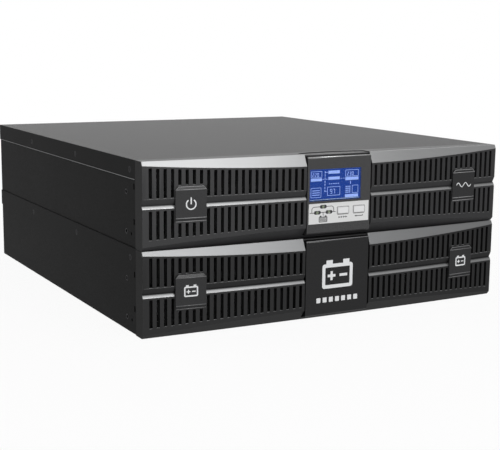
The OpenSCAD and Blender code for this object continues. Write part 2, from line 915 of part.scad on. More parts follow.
module display_housing() {
  color("#242427") in_ups()
    difference() {
      union() {
        difference() {
          insert_block(insert_w, insert_low, insert_high, insert_back);
          insert_hollow();
        }
        insert_lugs();
        for (p = [[-33, 10], [33, 10], [-33, 78], [33, 78]])
          at_xz(p) rod_y(2.6, -insert_front + insert_wall - 0.1, board_y - board_t);
      }
      span([lcd_x[0] - 0.5, -40, lcd_z[0] - 0.5], [lcd_x[1] + 0.5, -insert_front + insert_wall + 0.5, lcd_z[1] + 0.5]);
      span([panel_x[0], -40, panel_z[0]], [panel_x[1], -insert_front + panel_t - panel_proud, panel_z[1]]);
      for (x = button_x)
        at_xz([x, button_z]) button_opening();
      for (p = light_at)
        at_xz(p) rod_y(light_r + 0.1, -40, -20);
    }
}

module button_opening() {
  span([-button_w / 2 - button_gap, -40, -button_h / 2 - button_gap],
       [button_w / 2 + button_gap, -20, button_h / 2 + button_gap]);
}

module lcd_module() {
  color("#2f50b4") in_ups() {
    span([lcd_x[0], -26.3, lcd_z[0]], [lcd_x[1], -23, lcd_z[1]]);
    span([lcd_x[0] + 2, -23.1, lcd_z[0] + 2], [lcd_x[1] - 2, board_y - board_t, lcd_z[1] - 2]);
  }
}

module lcd_window() {
  color("#8fa8e6", 0.4) in_ups()
    span([lcd_x[0] - 0.4, -insert_front + 0.1, lcd_z[0] - 0.4], [lcd_x[1] + 0.4, -26.4, lcd_z[1] + 0.4]);
}

module control_panel() {
  y0 = -insert_front - panel_proud;
  color("#d4d6d8") in_ups()
    difference() {
      span([panel_x[0] + 0.1, y0, panel_z[0] + 0.1], [panel_x[1] - 0.1, y0 + panel_t, panel_z[1] - 0.1]);
      for (x = button_x)
        at_xz([x, button_z]) button_opening();
      for (p = light_at)
        at_xz(p) rod_y(light_r + 0.1, -40, -20);
    }
}

module display_board() {
  color("#1f5a33") in_ups() {
    span([-36, board_y - board_t, 7], [36, board_y, 82]);
    for (x = button_x)
      at_xz([x, button_z]) span([-3, -20.5, -3], [3, board_y - board_t + 0.1, 3]);
  }
}

module status_lights() {
  color("#4fae5c") in_ups()
    for (p = light_at)
      at_xz(p) rod_y(light_r, -insert_front - panel_proud - 0.2, board_y - board_t);
}

module panel_button() {
  span([-button_w / 2, -bezel_mid, -button_h / 2], [button_w / 2, -22, button_h / 2]);
  span([-button_w / 2 - 1, -25, -button_h / 2 - 1], [button_w / 2 + 1, -24, button_h / 2 + 1]);
}

module select_button() {
  color("#cfd1d4") in_ups() at_xz([button_x[0], button_z]) panel_button();
}

module enter_button() {
  color("#cfd1d4") in_ups() at_xz([button_x[1], button_z]) panel_button();
}

// ---------- battery box ----------

module battery_chassis() {
  color("#2b2b2d") in_box() tub(17);
}

module battery_top_cover() {
  color("#303032") in_box() cover();
}

module battery_screws() {
  color("#6a6a6c") in_box() {
    side_screws();
    at_xz(earth_at) rear_screw(case_d + 1, 3.6, 1.9, 8, 2.4);
    at_xz(earth_at)
      difference() {
        rod_y(4.2, case_d, case_d + 0.9);
        rod_y(2.1, case_d - 1, case_d + 2);
      }
  }
}

module battery_rear_panel() {
  color("#262628") in_box()
    difference() {
      span([-inner_x, case_d - sheet, sheet], [inner_x, case_d, inner_top]);
      at_xz([0, mid_z]) span([-breaker_w / 2 - 0.3, case_d - 5, -nose_h / 2 - 0.3],
                             [breaker_w / 2 + 0.3, case_d + 1, nose_h / 2 + 0.3]);
      for (x = box_link_x)
        at_xz([x, box_link_z]) span([-21.2, case_d - 5, -9.2], [21.2, case_d + 1, 9.2]);
      at_xz(earth_at) rod_y(2, case_d - 5, case_d + 1);
      for (i = [0 : 17])
        for (z = [18, 48])
          translate([-200 + i * 8, 0, 0]) span([-1.7, case_d - 5, z], [1.7, case_d + 1, z + 22]);
    }
}

module batteries() {
  color("#4a4e55") in_box()
    for (x = cell_x)
      for (y = cell_y)
        translate([x, y, cell_z]) {
          span([-cell_w / 2, 0, 0], [cell_w / 2 - 6, cell_l, cell_h]);
          span([cell_w / 2 - 6.1, 3, 3], [cell_w / 2, cell_l - 3, cell_h - 3]);
        }
}

module battery_terminals() {
  color("#b8a15a") in_box()
    for (x = cell_x)
      for (y = cell_y)
        for (dy = [16, cell_l - 16])
          translate([x + cell_w / 2, y + dy, cell_z + 48]) cube([6, 6.3, 0.8]);
}

module battery_links() {
  // flat straps between the two rows of each column, and from column to column at the front
  color("#b03a2e") in_box() {
    for (x = cell_x)
      translate([x + cell_w / 2 + 0.4, cell_y[0] + cell_l - 16, cell_z + 48.8]) cube([5, 38.3, 1]);
    for (i = [0 : 2])
      translate([cell_x[i] + cell_w / 2 + 0.4, cell_y[0] + 10, cell_z + 48.8]) cube([5, 12, 1]);
  }
}

module battery_tray() {
  color("#8d9095") in_box() {
    span([-214, 22, sheet], [214, 340, cell_z]);
    span([-214, 22, sheet], [214, 23.2, 34]);
    span([-214, 338.8, sheet], [214, 340, 34]);
  }
}

module hold_down_bars() {
  color("#8d9095") in_box()
    for (y = [95, 252]) {
      span([-216, y - 12, cell_z + cell_h], [216, y + 12, cell_z + cell_h + 1.2]);
      for (dy = [-12, 10.8])
        span([-216, y + dy, cell_z + cell_h], [216, y + dy + 1.2, cell_z + cell_h + 14]);
    }
}

module dc_breaker() {
  color("#d9d9d5") in_box() at_xz([0, mid_z])
    difference() {
      union() {
        span([-breaker_w / 2, breaker_back, -breaker_h / 2], [breaker_w / 2, case_d - 9, breaker_h / 2]);
        span([-breaker_w / 2, case_d - 9.1, -nose_h / 2], [breaker_w / 2, case_d + 1, nose_h / 2]);
      }
      span([-toggle_w / 2 - 0.5, toggle_y - 9, -16], [toggle_w / 2 + 0.5, case_d + 2, 16]);
      for (dx = [-9, 9])
        at_xz([dx, 31]) rod_y(3, case_d - 14, case_d);
    }
}

module dc_breaker_toggle() {
  color("#222224") in_box() translate([0, toggle_y, mid_z]) {
    rod_x(toggle_r, -toggle_w / 2, toggle_w / 2);
    rotate([toggle_tilt, 0, 0]) span([1 - toggle_w / 2, 2, -3], [toggle_w / 2 - 1, toggle_l, 3]);
  }
}

module dc_connectors() {
  color("#8f1f1c") in_box()
    for (x = box_link_x)
      at_xz([x, box_link_z]) dc_connector();
}

module dc_fuse() {
  color("#d8d2c0") in_box() {
    span([-120, 380, sheet], [-60, 412, 12]);
    translate([0, 396, 24]) rod_x(11, -116, -64);
    for (x = [-118, -68])
      span([x, 390, 11.9], [x + 6, 402, 24]);
  }
}

module battery_bezel() {
  color("#1d1d1f") in_box() bezel_shell();
}

module battery_facet_trims() {
  color("#c9cbce") in_box() facet_trims();
}

module battery_channel_strips() {
  color("#c9cbce") in_box() channel_strips();
}

module battery_badges() {
  color("#202022") in_box() badges();
}

module battery_plate() {
  color("#161618") in_box() {
    difference() {
      insert_block(insert_w, insert_low, insert_high, insert_back + 8);
      insert_hollow();
    }
    insert_lugs();
  }
}

// Raised battery outline with plus and minus, and a row of charge bars under it
module battery_symbol() {
  stroke = 3.8;
  low = 32.6;
  high = 59;
  half = 20;
  y0 = -insert_front - 0.4;
  y1 = -insert_front;
  color("#d8dadc") in_box() {
    difference() {
      span([-half, y0, low], [half, y1, high]);
      span([-half + stroke, y0 - 1, low + stroke], [half - stroke, y1 + 1, high - stroke]);
    }
    for (x = [-10.5, 11])
      span([x - 4.4, y0, high - 0.1], [x + 4.4, y1, high + 5]);
    span([-12.3, y0, 44.8], [-2.8, y1, 47.6]);
    span([-8.9, y0, 41.4], [-6.1, y1, 51]);
    span([2.4, y0, 44.8], [12.4, y1, 47.8]);
    for (i = [0 : 6])
      translate([-26.4 + i * 7.8, 0, 0]) span([0, y0, 17.4], [6, y1, 23.6]);
  }
}

// ---------- nodes ----------

ups_chassis();
ups_top_cover();
ups_screws();
ups_rear_panel();
stacking_pads();
fan_frames();
fan_guards();
fan_screws();
fan_rotor_left();
fan_rotor_right();
mains_inlet();
outlet_sockets();
reset_breakers();
input_reset_button();
output_reset_button();
usb_port();
serial_port();
network_jacks();
slot_cover();
ups_battery_connector();
power_board();
board_standoffs();
heatsinks();
power_transistors();
bus_capacitors();
inductors();
relays();
control_board();
emi_filter();
ups_bezel();
ups_facet_trims();
ups_channel_strips();
ups_badges();
display_housing();
lcd_module();
lcd_window();
control_panel();
display_board();
status_lights();
select_button();
enter_button();
battery_chassis();
battery_top_cover();
battery_screws();
battery_rear_panel();
batteries();
battery_terminals();
battery_tray();
hold_down_bars();
battery_links();
dc_breaker();
dc_breaker_toggle();
dc_connectors();
dc_fuse();
battery_bezel();
battery_facet_trims();
battery_channel_strips();
battery_badges();
battery_plate();
battery_symbol();
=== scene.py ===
"""Looks of a rack UPS: a 2U UPS module on a 2U battery box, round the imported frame. Lengths are metres."""

import json
import math

import bmesh
import bpy
from mathutils import Matrix, Vector


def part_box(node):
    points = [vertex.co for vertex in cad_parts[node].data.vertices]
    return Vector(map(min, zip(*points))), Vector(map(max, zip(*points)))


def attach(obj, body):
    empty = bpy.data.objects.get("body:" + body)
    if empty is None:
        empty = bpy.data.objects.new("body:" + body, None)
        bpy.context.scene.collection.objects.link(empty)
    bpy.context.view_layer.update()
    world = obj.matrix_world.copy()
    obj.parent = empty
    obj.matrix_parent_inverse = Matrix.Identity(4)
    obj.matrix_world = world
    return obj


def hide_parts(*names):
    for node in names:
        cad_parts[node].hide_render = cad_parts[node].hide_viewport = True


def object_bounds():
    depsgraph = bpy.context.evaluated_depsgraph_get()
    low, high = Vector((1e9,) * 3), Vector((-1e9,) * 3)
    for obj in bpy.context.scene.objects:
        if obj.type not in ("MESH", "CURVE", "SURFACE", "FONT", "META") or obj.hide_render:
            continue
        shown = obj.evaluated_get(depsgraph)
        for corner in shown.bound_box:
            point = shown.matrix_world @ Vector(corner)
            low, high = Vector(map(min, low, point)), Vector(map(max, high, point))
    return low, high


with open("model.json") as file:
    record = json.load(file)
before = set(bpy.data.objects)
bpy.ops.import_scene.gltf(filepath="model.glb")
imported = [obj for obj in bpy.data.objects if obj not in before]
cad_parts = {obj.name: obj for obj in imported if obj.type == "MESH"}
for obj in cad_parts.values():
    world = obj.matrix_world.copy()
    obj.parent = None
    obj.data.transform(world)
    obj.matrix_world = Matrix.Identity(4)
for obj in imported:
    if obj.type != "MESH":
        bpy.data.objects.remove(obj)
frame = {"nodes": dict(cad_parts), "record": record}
cad_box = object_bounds()

MM = 0.001
NODES = frame["nodes"]
BODIES = frame["record"]["behaviour"]["bodies"]
BODY_OF = {node: body for body, nodes in BODIES.items() for node in nodes}

# ---------- places, taken from the frame ----------

CASE_LOW, CASE_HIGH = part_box("ups_chassis")
FRONT_Y = CASE_LOW.y                          # front plane of both sheet-metal cases
REAR_Y = CASE_HIGH.y                          # rear plane of both cases
UPS_Z = CASE_LOW.z                            # underside of the UPS module
HALF_W = cad_box[1].x
TOP_Z = cad_box[1].z
MODULE_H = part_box("battery_top_cover")[1].z

# the bezel's bow, as in the design
BEZEL_MID = 28.5 * MM
BEZEL_END = 17.7 * MM
BADGE_X = 170.3 * MM
BADGE_HALF_W = 16.5 * MM
BADGE_PROUD = 1.2 * MM
BADGE_Z = 45 * MM                             # middle of a badge's flat face, from the module's underside
BADGE_HEAD = 63.6 * MM                        # its top, where the slots over it end

# the centre inserts and the grille slots, as in the design
INSERT_HALF_W = 39.3 * MM
INSERT_FRONT = 27.6 * MM
INSERT_ROUND = 2 * MM                         # radius of its top edge
POCKET_X = 40.9 * MM                          # where the bezel starts beside it
SLOTS = 23
SLOT_FIRST = 45.7 * MM
SLOT_PITCH = 7.55 * MM
SLOT_HALF_W = 1.7 * MM
SLOTS_AT_BADGE = range(15, 19)
HIGH_ROW_FOOT = 51.4 * MM
LOW_ROW_FOOT = 15.5 * MM                      # beside the middle
LOW_ROW_FALL = 5.5 * MM                       # how much lower it is at the ends

# beads, lips and rims that the design leaves out, in light colours as painted highlights
BEAD_R = 0.42 * MM
LIP_R = 0.22 * MM
LIP_STEPS = 16
LIP_Z = 51 * MM                               # the groove's upper lip, from the module's underside
FOOT_R = 0.26 * MM
EAR_HOLE_Y = 25 * MM                          # behind the front plane
EAR_HOLE_Z = (14 * MM, 54 * MM)
EYELET_R = 2.7 * MM
EYELET_HOLE_R = 2.05 * MM
INK = 0.08 * MM                               # how thick a print stands on its surface


def reach(x):
    """How far the bezel stands out in front of the case at x."""
    return BEZEL_MID - (BEZEL_MID - BEZEL_END) * (x / HALF_W) ** 2


def centre(node):
    low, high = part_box(node)
    return (low + high) / 2


# ---------- camera ----------

VIEW_AZIMUTH = math.radians(-28.78)
VIEW_ELEVATION = math.radians(9.77)
VIEW_ROLL = math.radians(0.59)
VIEW_DISTANCE = 1.36312                       # from the middle of the object
VIEW_PAN = Vector((0.02714, -0.02664))        # the camera's shift beside and above the line to the middle
LENS = 77.94
SENSOR = 36


def add_camera():
    aim = Vector((0, 0, TOP_Z / 2))
    back = Vector((math.sin(VIEW_AZIMUTH) * math.cos(VIEW_ELEVATION),
                   -math.cos(VIEW_AZIMUTH) * math.cos(VIEW_ELEVATION),
                   math.sin(VIEW_ELEVATION)))
    level = Vector((math.cos(VIEW_AZIMUTH), math.sin(VIEW_AZIMUTH), 0))
    upright = back.cross(level)
    right = level * math.cos(VIEW_ROLL) + upright * math.sin(VIEW_ROLL)
    up = upright * math.cos(VIEW_ROLL) - level * math.sin(VIEW_ROLL)
    data = bpy.data.cameras.new("camera")
    data.lens = LENS
    data.sensor_width = SENSOR
    data.clip_end = 50
    camera = bpy.data.objects.new("camera", data)
    bpy.context.scene.collection.objects.link(camera)
    place = aim + back * VIEW_DISTANCE + right * VIEW_PAN.x + up * VIEW_PAN.y
    turn = Matrix((right, up, back)).transposed()
    camera.matrix_world = Matrix.Translation(place) @ turn.to_4x4()
    bpy.context.scene.camera = camera


# ---------- materials ----------

def node_of(tree, kind, **inputs):
    """Adds a shader node and sets its inputs by name."""
    made = tree.nodes.new(kind)
    for name, value in inputs.items():
        made.inputs[name.replace("_", " ")].default_value = value
    return made


def remap(tree, value, low, high, from_low=0.0, from_high=1.0):
    made = node_of(tree, "ShaderNodeMapRange")
    made.inputs["From Min"].default_value = from_low
    made.inputs["From Max"].default_value = from_high
    made.inputs["To Min"].default_value = low
    made.inputs["To Max"].default_value = high
    tree.links.new(value, made.inputs["Value"])
    return made.outputs["Result"]


def blend_colours(tree, share, first, second):
    """A mix of two colours by share. Each is a tuple or a socket."""
    made = tree.nodes.new("ShaderNodeMix")
    made.data_type = "RGBA"
    tree.links.new(share, made.inputs["Factor"])
    for name, colour in (("A", first), ("B", second)):
        socket = next(s for s in made.inputs if s.name == name and s.type == "RGBA")
        if isinstance(colour, tuple):
            socket.default_value = (*colour, 1)
        else:
            tree.links.new(colour, socket)
    return next(s for s in made.outputs if s.type == "RGBA")


def noise(tree, coords, scale, detail=2.0, stretch=(1, 1, 1)):
    placed = node_of(tree, "ShaderNodeMapping", Scale=stretch)
    tree.links.new(coords, placed.inputs["Vector"])
    made = node_of(tree, "ShaderNodeTexNoise", Scale=scale, Detail=detail)
    tree.links.new(placed.outputs["Vector"], made.inputs["Vector"])
    return made.outputs["Fac"]


def surface(name, colour, rough, metal=0.0, grain=900, relief=0.12, tone=0.12, rough_span=0.1,
            specular=0.5, coat=0.0, stretch=(1, 1, 1), edge=0.0, glow=None, depth=0.00006, painted_shade=None):
    """A surface with fine grain in its relief and roughness, slow changes of tone, and lighter edges: partly
    wear, partly a painted highlight.

    The last option gives two heights and the darker colour that the surface turns into between them, as
    painted shade."""
    made = bpy.data.materials.new(name)
    made.use_nodes = True
    tree = made.node_tree
    shader = tree.nodes["Principled BSDF"]
    coords = tree.nodes.new("ShaderNodeTexCoord").outputs["Object"]
    fine = noise(tree, coords, grain, 3, stretch)
    broad = noise(tree, coords, 9, 4)
    darker = tuple(c * (1 - tone) for c in colour)
    lighter = tuple(min(1.0, c * (1 + tone)) for c in colour)
    mixed = remap(tree, broad, 0.0, 1.0, 0.3, 0.7)
    shade = blend_colours(tree, mixed, darker, lighter)
    shade = blend_colours(tree, remap(tree, fine, 0.0, 0.35, 0.35, 0.75), shade, lighter)
    if edge:
        # where a rounded normal differs from the true one there is an edge, painted lighter: partly wear
        # from handling, partly a painted highlight along the rounding
        rounded = node_of(tree, "ShaderNodeBevel", Radius=0.0006)
        rounded.samples = 4
        true = tree.nodes.new("ShaderNodeNewGeometry").outputs["Normal"]
        dot = tree.nodes.new("ShaderNodeVectorMath")
        dot.operation = "DOT_PRODUCT"
        tree.links.new(rounded.outputs["Normal"], dot.inputs[0])
        tree.links.new(true, dot.inputs[1])
        worn_and_highlit = remap(tree, dot.outputs["Value"], edge, 0.0, 0.8, 0.98)
        shade = blend_colours(tree, worn_and_highlit, shade, tuple(min(1.0, c * 2.5 + 0.03) for c in colour))
    # painted shade: between two heights the colour turns darker
    if painted_shade:
        place = tree.nodes.new("ShaderNodeSeparateXYZ")
        tree.links.new(coords, place.inputs["Vector"])
        share = remap(tree, place.outputs["Z"], 0.0, 1.0, painted_shade[0], painted_shade[1])
        shade = blend_colours(tree, share, shade, painted_shade[2])
    tree.links.new(shade, shader.inputs["Base Color"])
    gloss = remap(tree, fine, rough - rough_span, rough + rough_span, 0.3, 0.7)
    tree.links.new(gloss, shader.inputs["Roughness"])
    bump = node_of(tree, "ShaderNodeBump", Strength=relief, Distance=depth)
    tree.links.new(fine, bump.inputs["Height"])
    tree.links.new(bump.outputs["Normal"], shader.inputs["Normal"])
    shader.inputs["Metallic"].default_value = metal
    shader.inputs["Specular IOR Level"].default_value = specular
    shader.inputs["Coat Weight"].default_value = coat
    shader.inputs["Coat Roughness"].default_value = 0.12
    if glow:
        shader.inputs["Emission Color"].default_value = (*glow[0], 1)
        shader.inputs["Emission Strength"].default_value = glow[1]
    return made


def clear_pane(name):
    """Hard-coated clear acrylic with the faintest haze."""
    made = surface(name, (0.93, 0.95, 1.0), 0.06, grain=400, relief=0.02, tone=0.02, rough_span=0.02)
    shader = made.node_tree.nodes["Principled BSDF"]
    shader.inputs["Transmission Weight"].default_value = 1.0
    shader.inputs["IOR"].default_value = 1.3
    return made


# options that several looks share. BRUSHED is silver foil, its grain stretched along X
PAINT = dict(grain=1500, relief=0.3, specular=0.12, depth=0.0001)
MATT = dict(grain=1700, relief=0.25, edge=0.22, depth=0.00008)
GLOSSY = dict(grain=1700, relief=0.12, edge=0.3, coat=0.3)
BEAD = dict(grain=1700, relief=0.1)
PRINT = dict(grain=1700, relief=0.1, tone=0.05)
GLASS = dict(grain=2500, relief=0.02)
BRUSHED = dict(metal=0.9, grain=900, relief=0.012, tone=0.02, rough_span=0.015, stretch=(0.03, 1, 1))
LCD_GLOW = ((0.005, 0.042, 0.26), 1.0)
STRIP_SHADE_HEIGHTS = (42.8 * MM, 44.3 * MM)           # between these heights the channel strips turn dark: painted shade on the upper part of each strip
STRIP_SHADE = (0.08, 0.08, 0.082)


# the band of painted shade on a channel strip of the module whose underside is at base
def strip_painted_shade(base):
    return base + STRIP_SHADE_HEIGHTS[0], base + STRIP_SHADE_HEIGHTS[1], STRIP_SHADE



# colour, roughness and what differs from the defaults of surface
LOOK_TABLE = {
    "cover_paint": ((0.023, 0.023, 0.0234), 0.42, PAINT),
    "chassis_paint": ((0.023, 0.023, 0.0234), 0.42, PAINT),
    "rear_paint": ((0.016, 0.016, 0.0165), 0.45, dict(PAINT, grain=1300, specular=0.3, edge=0.2)),
    "zinc_steel": ((0.55, 0.56, 0.58), 0.32, dict(metal=1.0, grain=260, relief=0.1, tone=0.1, edge=0.2)),
    # light rims round the ear holes: painted highlights
    "eyelet_steel": ((0.2, 0.2, 0.21), 0.3, dict(metal=0.6, grain=900, relief=0.1)),
    # a light strip under the cover's flanges: a painted highlight
    "hem_highlight": ((0.78, 0.79, 0.8), 0.4, dict(metal=0.3, grain=600, relief=0.1, tone=0.15)),
    "black_screw": ((0.06, 0.06, 0.064), 0.34, dict(metal=0.7, grain=1200, edge=0.5)),
    "bright_screw": ((0.6, 0.6, 0.62), 0.25, dict(metal=1.0, grain=1200, edge=0.3)),
    "guard_wire": ((0.72, 0.73, 0.75), 0.2, dict(metal=1.0, grain=900, relief=0.05)),
    "bezel_plastic": ((0.032, 0.032, 0.0335), 0.42, dict(MATT, specular=0.45)),
    # a darker copy of bezel_plastic for the battery box: painted shade
    "bezel_plastic_shaded": ((0.017, 0.017, 0.0176), 0.42, dict(MATT, specular=0.4)),
    "insert_plastic": ((0.05, 0.05, 0.051), 0.3, GLOSSY),
    "plate_plastic": ((0.011, 0.011, 0.0117), 0.3, dict(GLOSSY, specular=0.4)),
    "badge_plastic": ((0.026, 0.026, 0.027), 0.34, dict(grain=1700, relief=0.15, specular=0.45, edge=0.5)),
    # light beads on the badges and plates: painted highlights; the dimmer copy for the battery box adds
    # painted shade
    "badge_bead": ((0.3, 0.3, 0.305), 0.3, BEAD),
    "badge_highlight_shaded": ((0.18, 0.18, 0.183), 0.3, BEAD),
    # a light line along the groove's lip: a painted highlight
    "lip_highlight": ((0.1, 0.1, 0.102), 0.3, BEAD),
    # light dashes at the slot feet: painted highlights
    "foot_highlight": ((0.26, 0.26, 0.263), 0.3, BEAD),
    # a bright bead on the insert's top edge: a painted highlight
    "bright_highlight_bead": ((0.85, 0.855, 0.86), 0.25, dict(metal=0.6, grain=1700, relief=0.03, tone=0.03)),
    "silver_trim": ((0.6, 0.605, 0.61), 0.29, BRUSHED),
    # a darker copy of silver_trim for the battery box's facets: painted shade
    "silver_trim_shaded": ((0.4, 0.405, 0.41), 0.31, BRUSHED),
    # the channel strips darken towards their top: painted shade
    "strip_silver": ((0.6, 0.605, 0.61), 0.29, dict(BRUSHED, painted_shade=strip_painted_shade(UPS_Z))),
    # a darker copy of strip_silver for the battery box: painted shade
    "strip_silver_shaded": ((0.5, 0.505, 0.51), 0.31, dict(BRUSHED, painted_shade=strip_painted_shade(0))),
    "panel_silver": ((0.84, 0.845, 0.84), 0.42, dict(metal=0.1, grain=1200, relief=0.06, tone=0.03)),
    "button_grey": ((0.84, 0.845, 0.85), 0.4, dict(grain=1500, relief=0.1, edge=0.3)),
    "lcd_blue": ((0.003, 0.006, 0.03), 0.3, dict(GLASS, tone=0.1, specular=0.05, glow=LCD_GLOW)),
    "lcd_edge": ((0.3, 0.34, 0.38), 0.4, dict(GLASS, glow=((0.05, 0.1, 0.17), 1.0))),
    "lcd_ink": ((0.1, 0.12, 0.2), 0.4, dict(GLASS, glow=((0.26, 0.38, 0.78), 1.0))),
    "light_green": ((0.24, 0.27, 0.2), 0.25, dict(grain=900, relief=0.02, glow=((0.1, 0.2, 0.08), 0.1))),
    "socket_black": ((0.022, 0.022, 0.023), 0.4, dict(grain=1500, relief=0.15, edge=0.3)),
    "contact_brass": ((0.8, 0.68, 0.35), 0.3, dict(metal=1.0, grain=900)),
    "connector_red": ((0.4, 0.02, 0.02), 0.38, dict(grain=1300, relief=0.15, edge=0.3)),
    "port_shell": ((0.62, 0.62, 0.64), 0.28, dict(metal=1.0, grain=900, edge=0.3)),
    "white_knob": ((0.75, 0.75, 0.73), 0.35, dict(grain=1300, edge=0.2)),
    "fan_plastic": ((0.016, 0.016, 0.017), 0.42, dict(grain=1500, relief=0.15, edge=0.2)),
    "board_green": ((0.02, 0.13, 0.05), 0.35, dict(grain=500, relief=0.1, tone=0.2, coat=0.3)),
    "part_black": ((0.03, 0.03, 0.03), 0.45, dict(grain=1300)),
    "sink_metal": ((0.6, 0.61, 0.63), 0.38, dict(metal=1.0, grain=700, stretch=(1, 0.03, 1))),
    "can_sleeve": ((0.02, 0.03, 0.09), 0.3, dict(grain=900, coat=0.4)),
    "copper_coil": ((0.65, 0.3, 0.12), 0.32, dict(metal=0.9, grain=420, relief=0.5, stretch=(1, 1, 0.05))),
    "relay_case": ((0.75, 0.73, 0.66), 0.4, dict(grain=1300)),
    "battery_block": ((0.035, 0.037, 0.042), 0.45, dict(grain=1300, relief=0.2, edge=0.3)),
    "lead_red": ((0.45, 0.03, 0.03), 0.4, dict(grain=1300)),
    "breaker_grey": ((0.6, 0.6, 0.57), 0.4, dict(grain=1500, relief=0.15, edge=0.2)),
    "pad_rubber": ((0.02, 0.02, 0.02), 0.7, dict(grain=1500, relief=0.3)),
    "print_white": ((0.88, 0.89, 0.9), 0.45, PRINT),
    "print_grey": ((0.03, 0.031, 0.033), 0.45, PRINT),
    "label_paper": ((0.62, 0.63, 0.64), 0.5, dict(grain=1500, relief=0.1, tone=0.05)),
}
LOOKS = {name: surface(name, colour, rough, **more) for name, (colour, rough, more) in LOOK_TABLE.items()}
LOOKS["clear_window"] = clear_pane("clear_window")

# the nodes whose look isn't simply that of their material slot
OWN_LOOK = {
    "display_housing": "insert_plastic",
    "battery_plate": "plate_plastic",
    "ups_badges": "badge_plastic",
    "battery_badges": "badge_plastic",
    "ups_rear_panel": "rear_paint",
    "battery_rear_panel": "rear_paint",
    "slot_cover": "rear_paint",
    "status_lights": "light_green",
    "battery_symbol": "print_white",
    "dc_breaker_toggle": "socket_black",
    "lcd_module": "lcd_blue",
    # the battery box's bezel, facet trims and channel strips take darker copies of the UPS module's looks:
    # painted shade
    "battery_bezel": "bezel_plastic_shaded",
    "battery_facet_trims": "silver_trim_shaded",
    "ups_channel_strips": "strip_silver",
    "battery_channel_strips": "strip_silver_shaded",
}

# how wide the broken edges of each kind of piece are
ROUNDING_WIDTHS = {
    0.08 * MM: ("battery_symbol",),
    0.12 * MM: ("ups_screws", "battery_screws"),
    0.15 * MM: ("ups_channel_strips", "battery_channel_strips", "control_panel", "usb_port",
                "serial_port"),
    0.2 * MM: ("ups_facet_trims", "battery_facet_trims", "power_transistors"),
    0.25 * MM: ("fan_screws",),
    0.3 * MM: ("ups_badges", "battery_badges", "reset_breakers", "slot_cover", "network_jacks",
               "input_reset_button", "output_reset_button", "status_lights"),
    0.35 * MM: ("ups_bezel", "battery_bezel"),
    0.4 * MM: ("display_housing", "battery_plate", "select_button", "enter_button", "ups_top_cover",
               "battery_top_cover", "mains_inlet", "outlet_sockets"),
    0.5 * MM: ("emi_filter", "dc_fuse"),
    0.6 * MM: ("dc_breaker", "fan_frames", "relays"),
    0.8 * MM: ("dc_breaker_toggle",),
    1.2 * MM: ("batteries", "bus_capacitors"),
    3 * MM: ("inductors",),
}
ROUNDING = {node: width for width, nodes in ROUNDING_WIDTHS.items() for node in nodes}
# bowed pieces of many shallow facets, whose large faces set the normals
BOWED = ("ups_bezel", "battery_bezel", "ups_facet_trims", "battery_facet_trims", "ups_channel_strips",
         "battery_channel_strips")
WELD = 0.002 * MM
SHARP = math.radians(28)


def dress(node):
    """Gives a CAD node its material and breaks its sharp edges."""
    piece = NODES[node]
    slot = piece.data.materials[0].name.split(".")[0]
    piece.data.materials.clear()
    piece.data.materials.append(LOOKS[OWN_LOOK.get(node, slot)])
    weld = piece.modifiers.new("weld", "WELD")
    weld.merge_threshold = WELD
    if node in ROUNDING:
        flat = piece.modifiers.new("flat", "DECIMATE")
        flat.decimate_type = "DISSOLVE"
        flat.angle_limit = math.radians(0.05)
        rounding = piece.modifiers.new("rounding", "BEVEL")
        rounding.width = ROUNDING[node]
        rounding.segments = 2
        rounding.limit_method = "ANGLE"
        rounding.angle_limit = SHARP
        rounding.harden_normals = node not in BOWED
        if node in BOWED:
            normals = piece.modifiers.new("normals", "WEIGHTED_NORMAL")
            normals.mode = "FACE_AREA"
            normals.weight = 100


# ---------- mesh helpers: shapes on the front or rear are drawn in x, z and given a depth in y ----------

def round_rect(x0, z0, x1, z1, r, steps=5):
    """Corner-rounded rectangle as a loop of points, the same number whatever its size."""
    points = []
    corners = ((x1 - r, z1 - r, 0), (x0 + r, z1 - r, 90), (x0 + r, z0 + r, 180), (x1 - r, z0 + r, 270))
    for cx, cz, start in corners:
        for i in range(steps + 1):
            a = math.radians(start + 90 * i / steps)
            points.append((cx + r * math.cos(a), cz + r * math.sin(a)))
    return points


def box_loop(x0, z0, x1, z1):
    return [(x1, z1), (x0, z1), (x0, z0), (x1, z0)]


def arc(cx, cz, r, a0, a1, steps=24):
    angles = [math.radians(a0 + (a1 - a0) * i / steps) for i in range(steps + 1)]
    return [(cx + r * math.cos(a), cz + r * math.sin(a)) for a in angles]


def round_loop(cx, cz, r, steps):
    return arc(cx, cz, r, 0, 360 - 360 / steps, steps - 1)


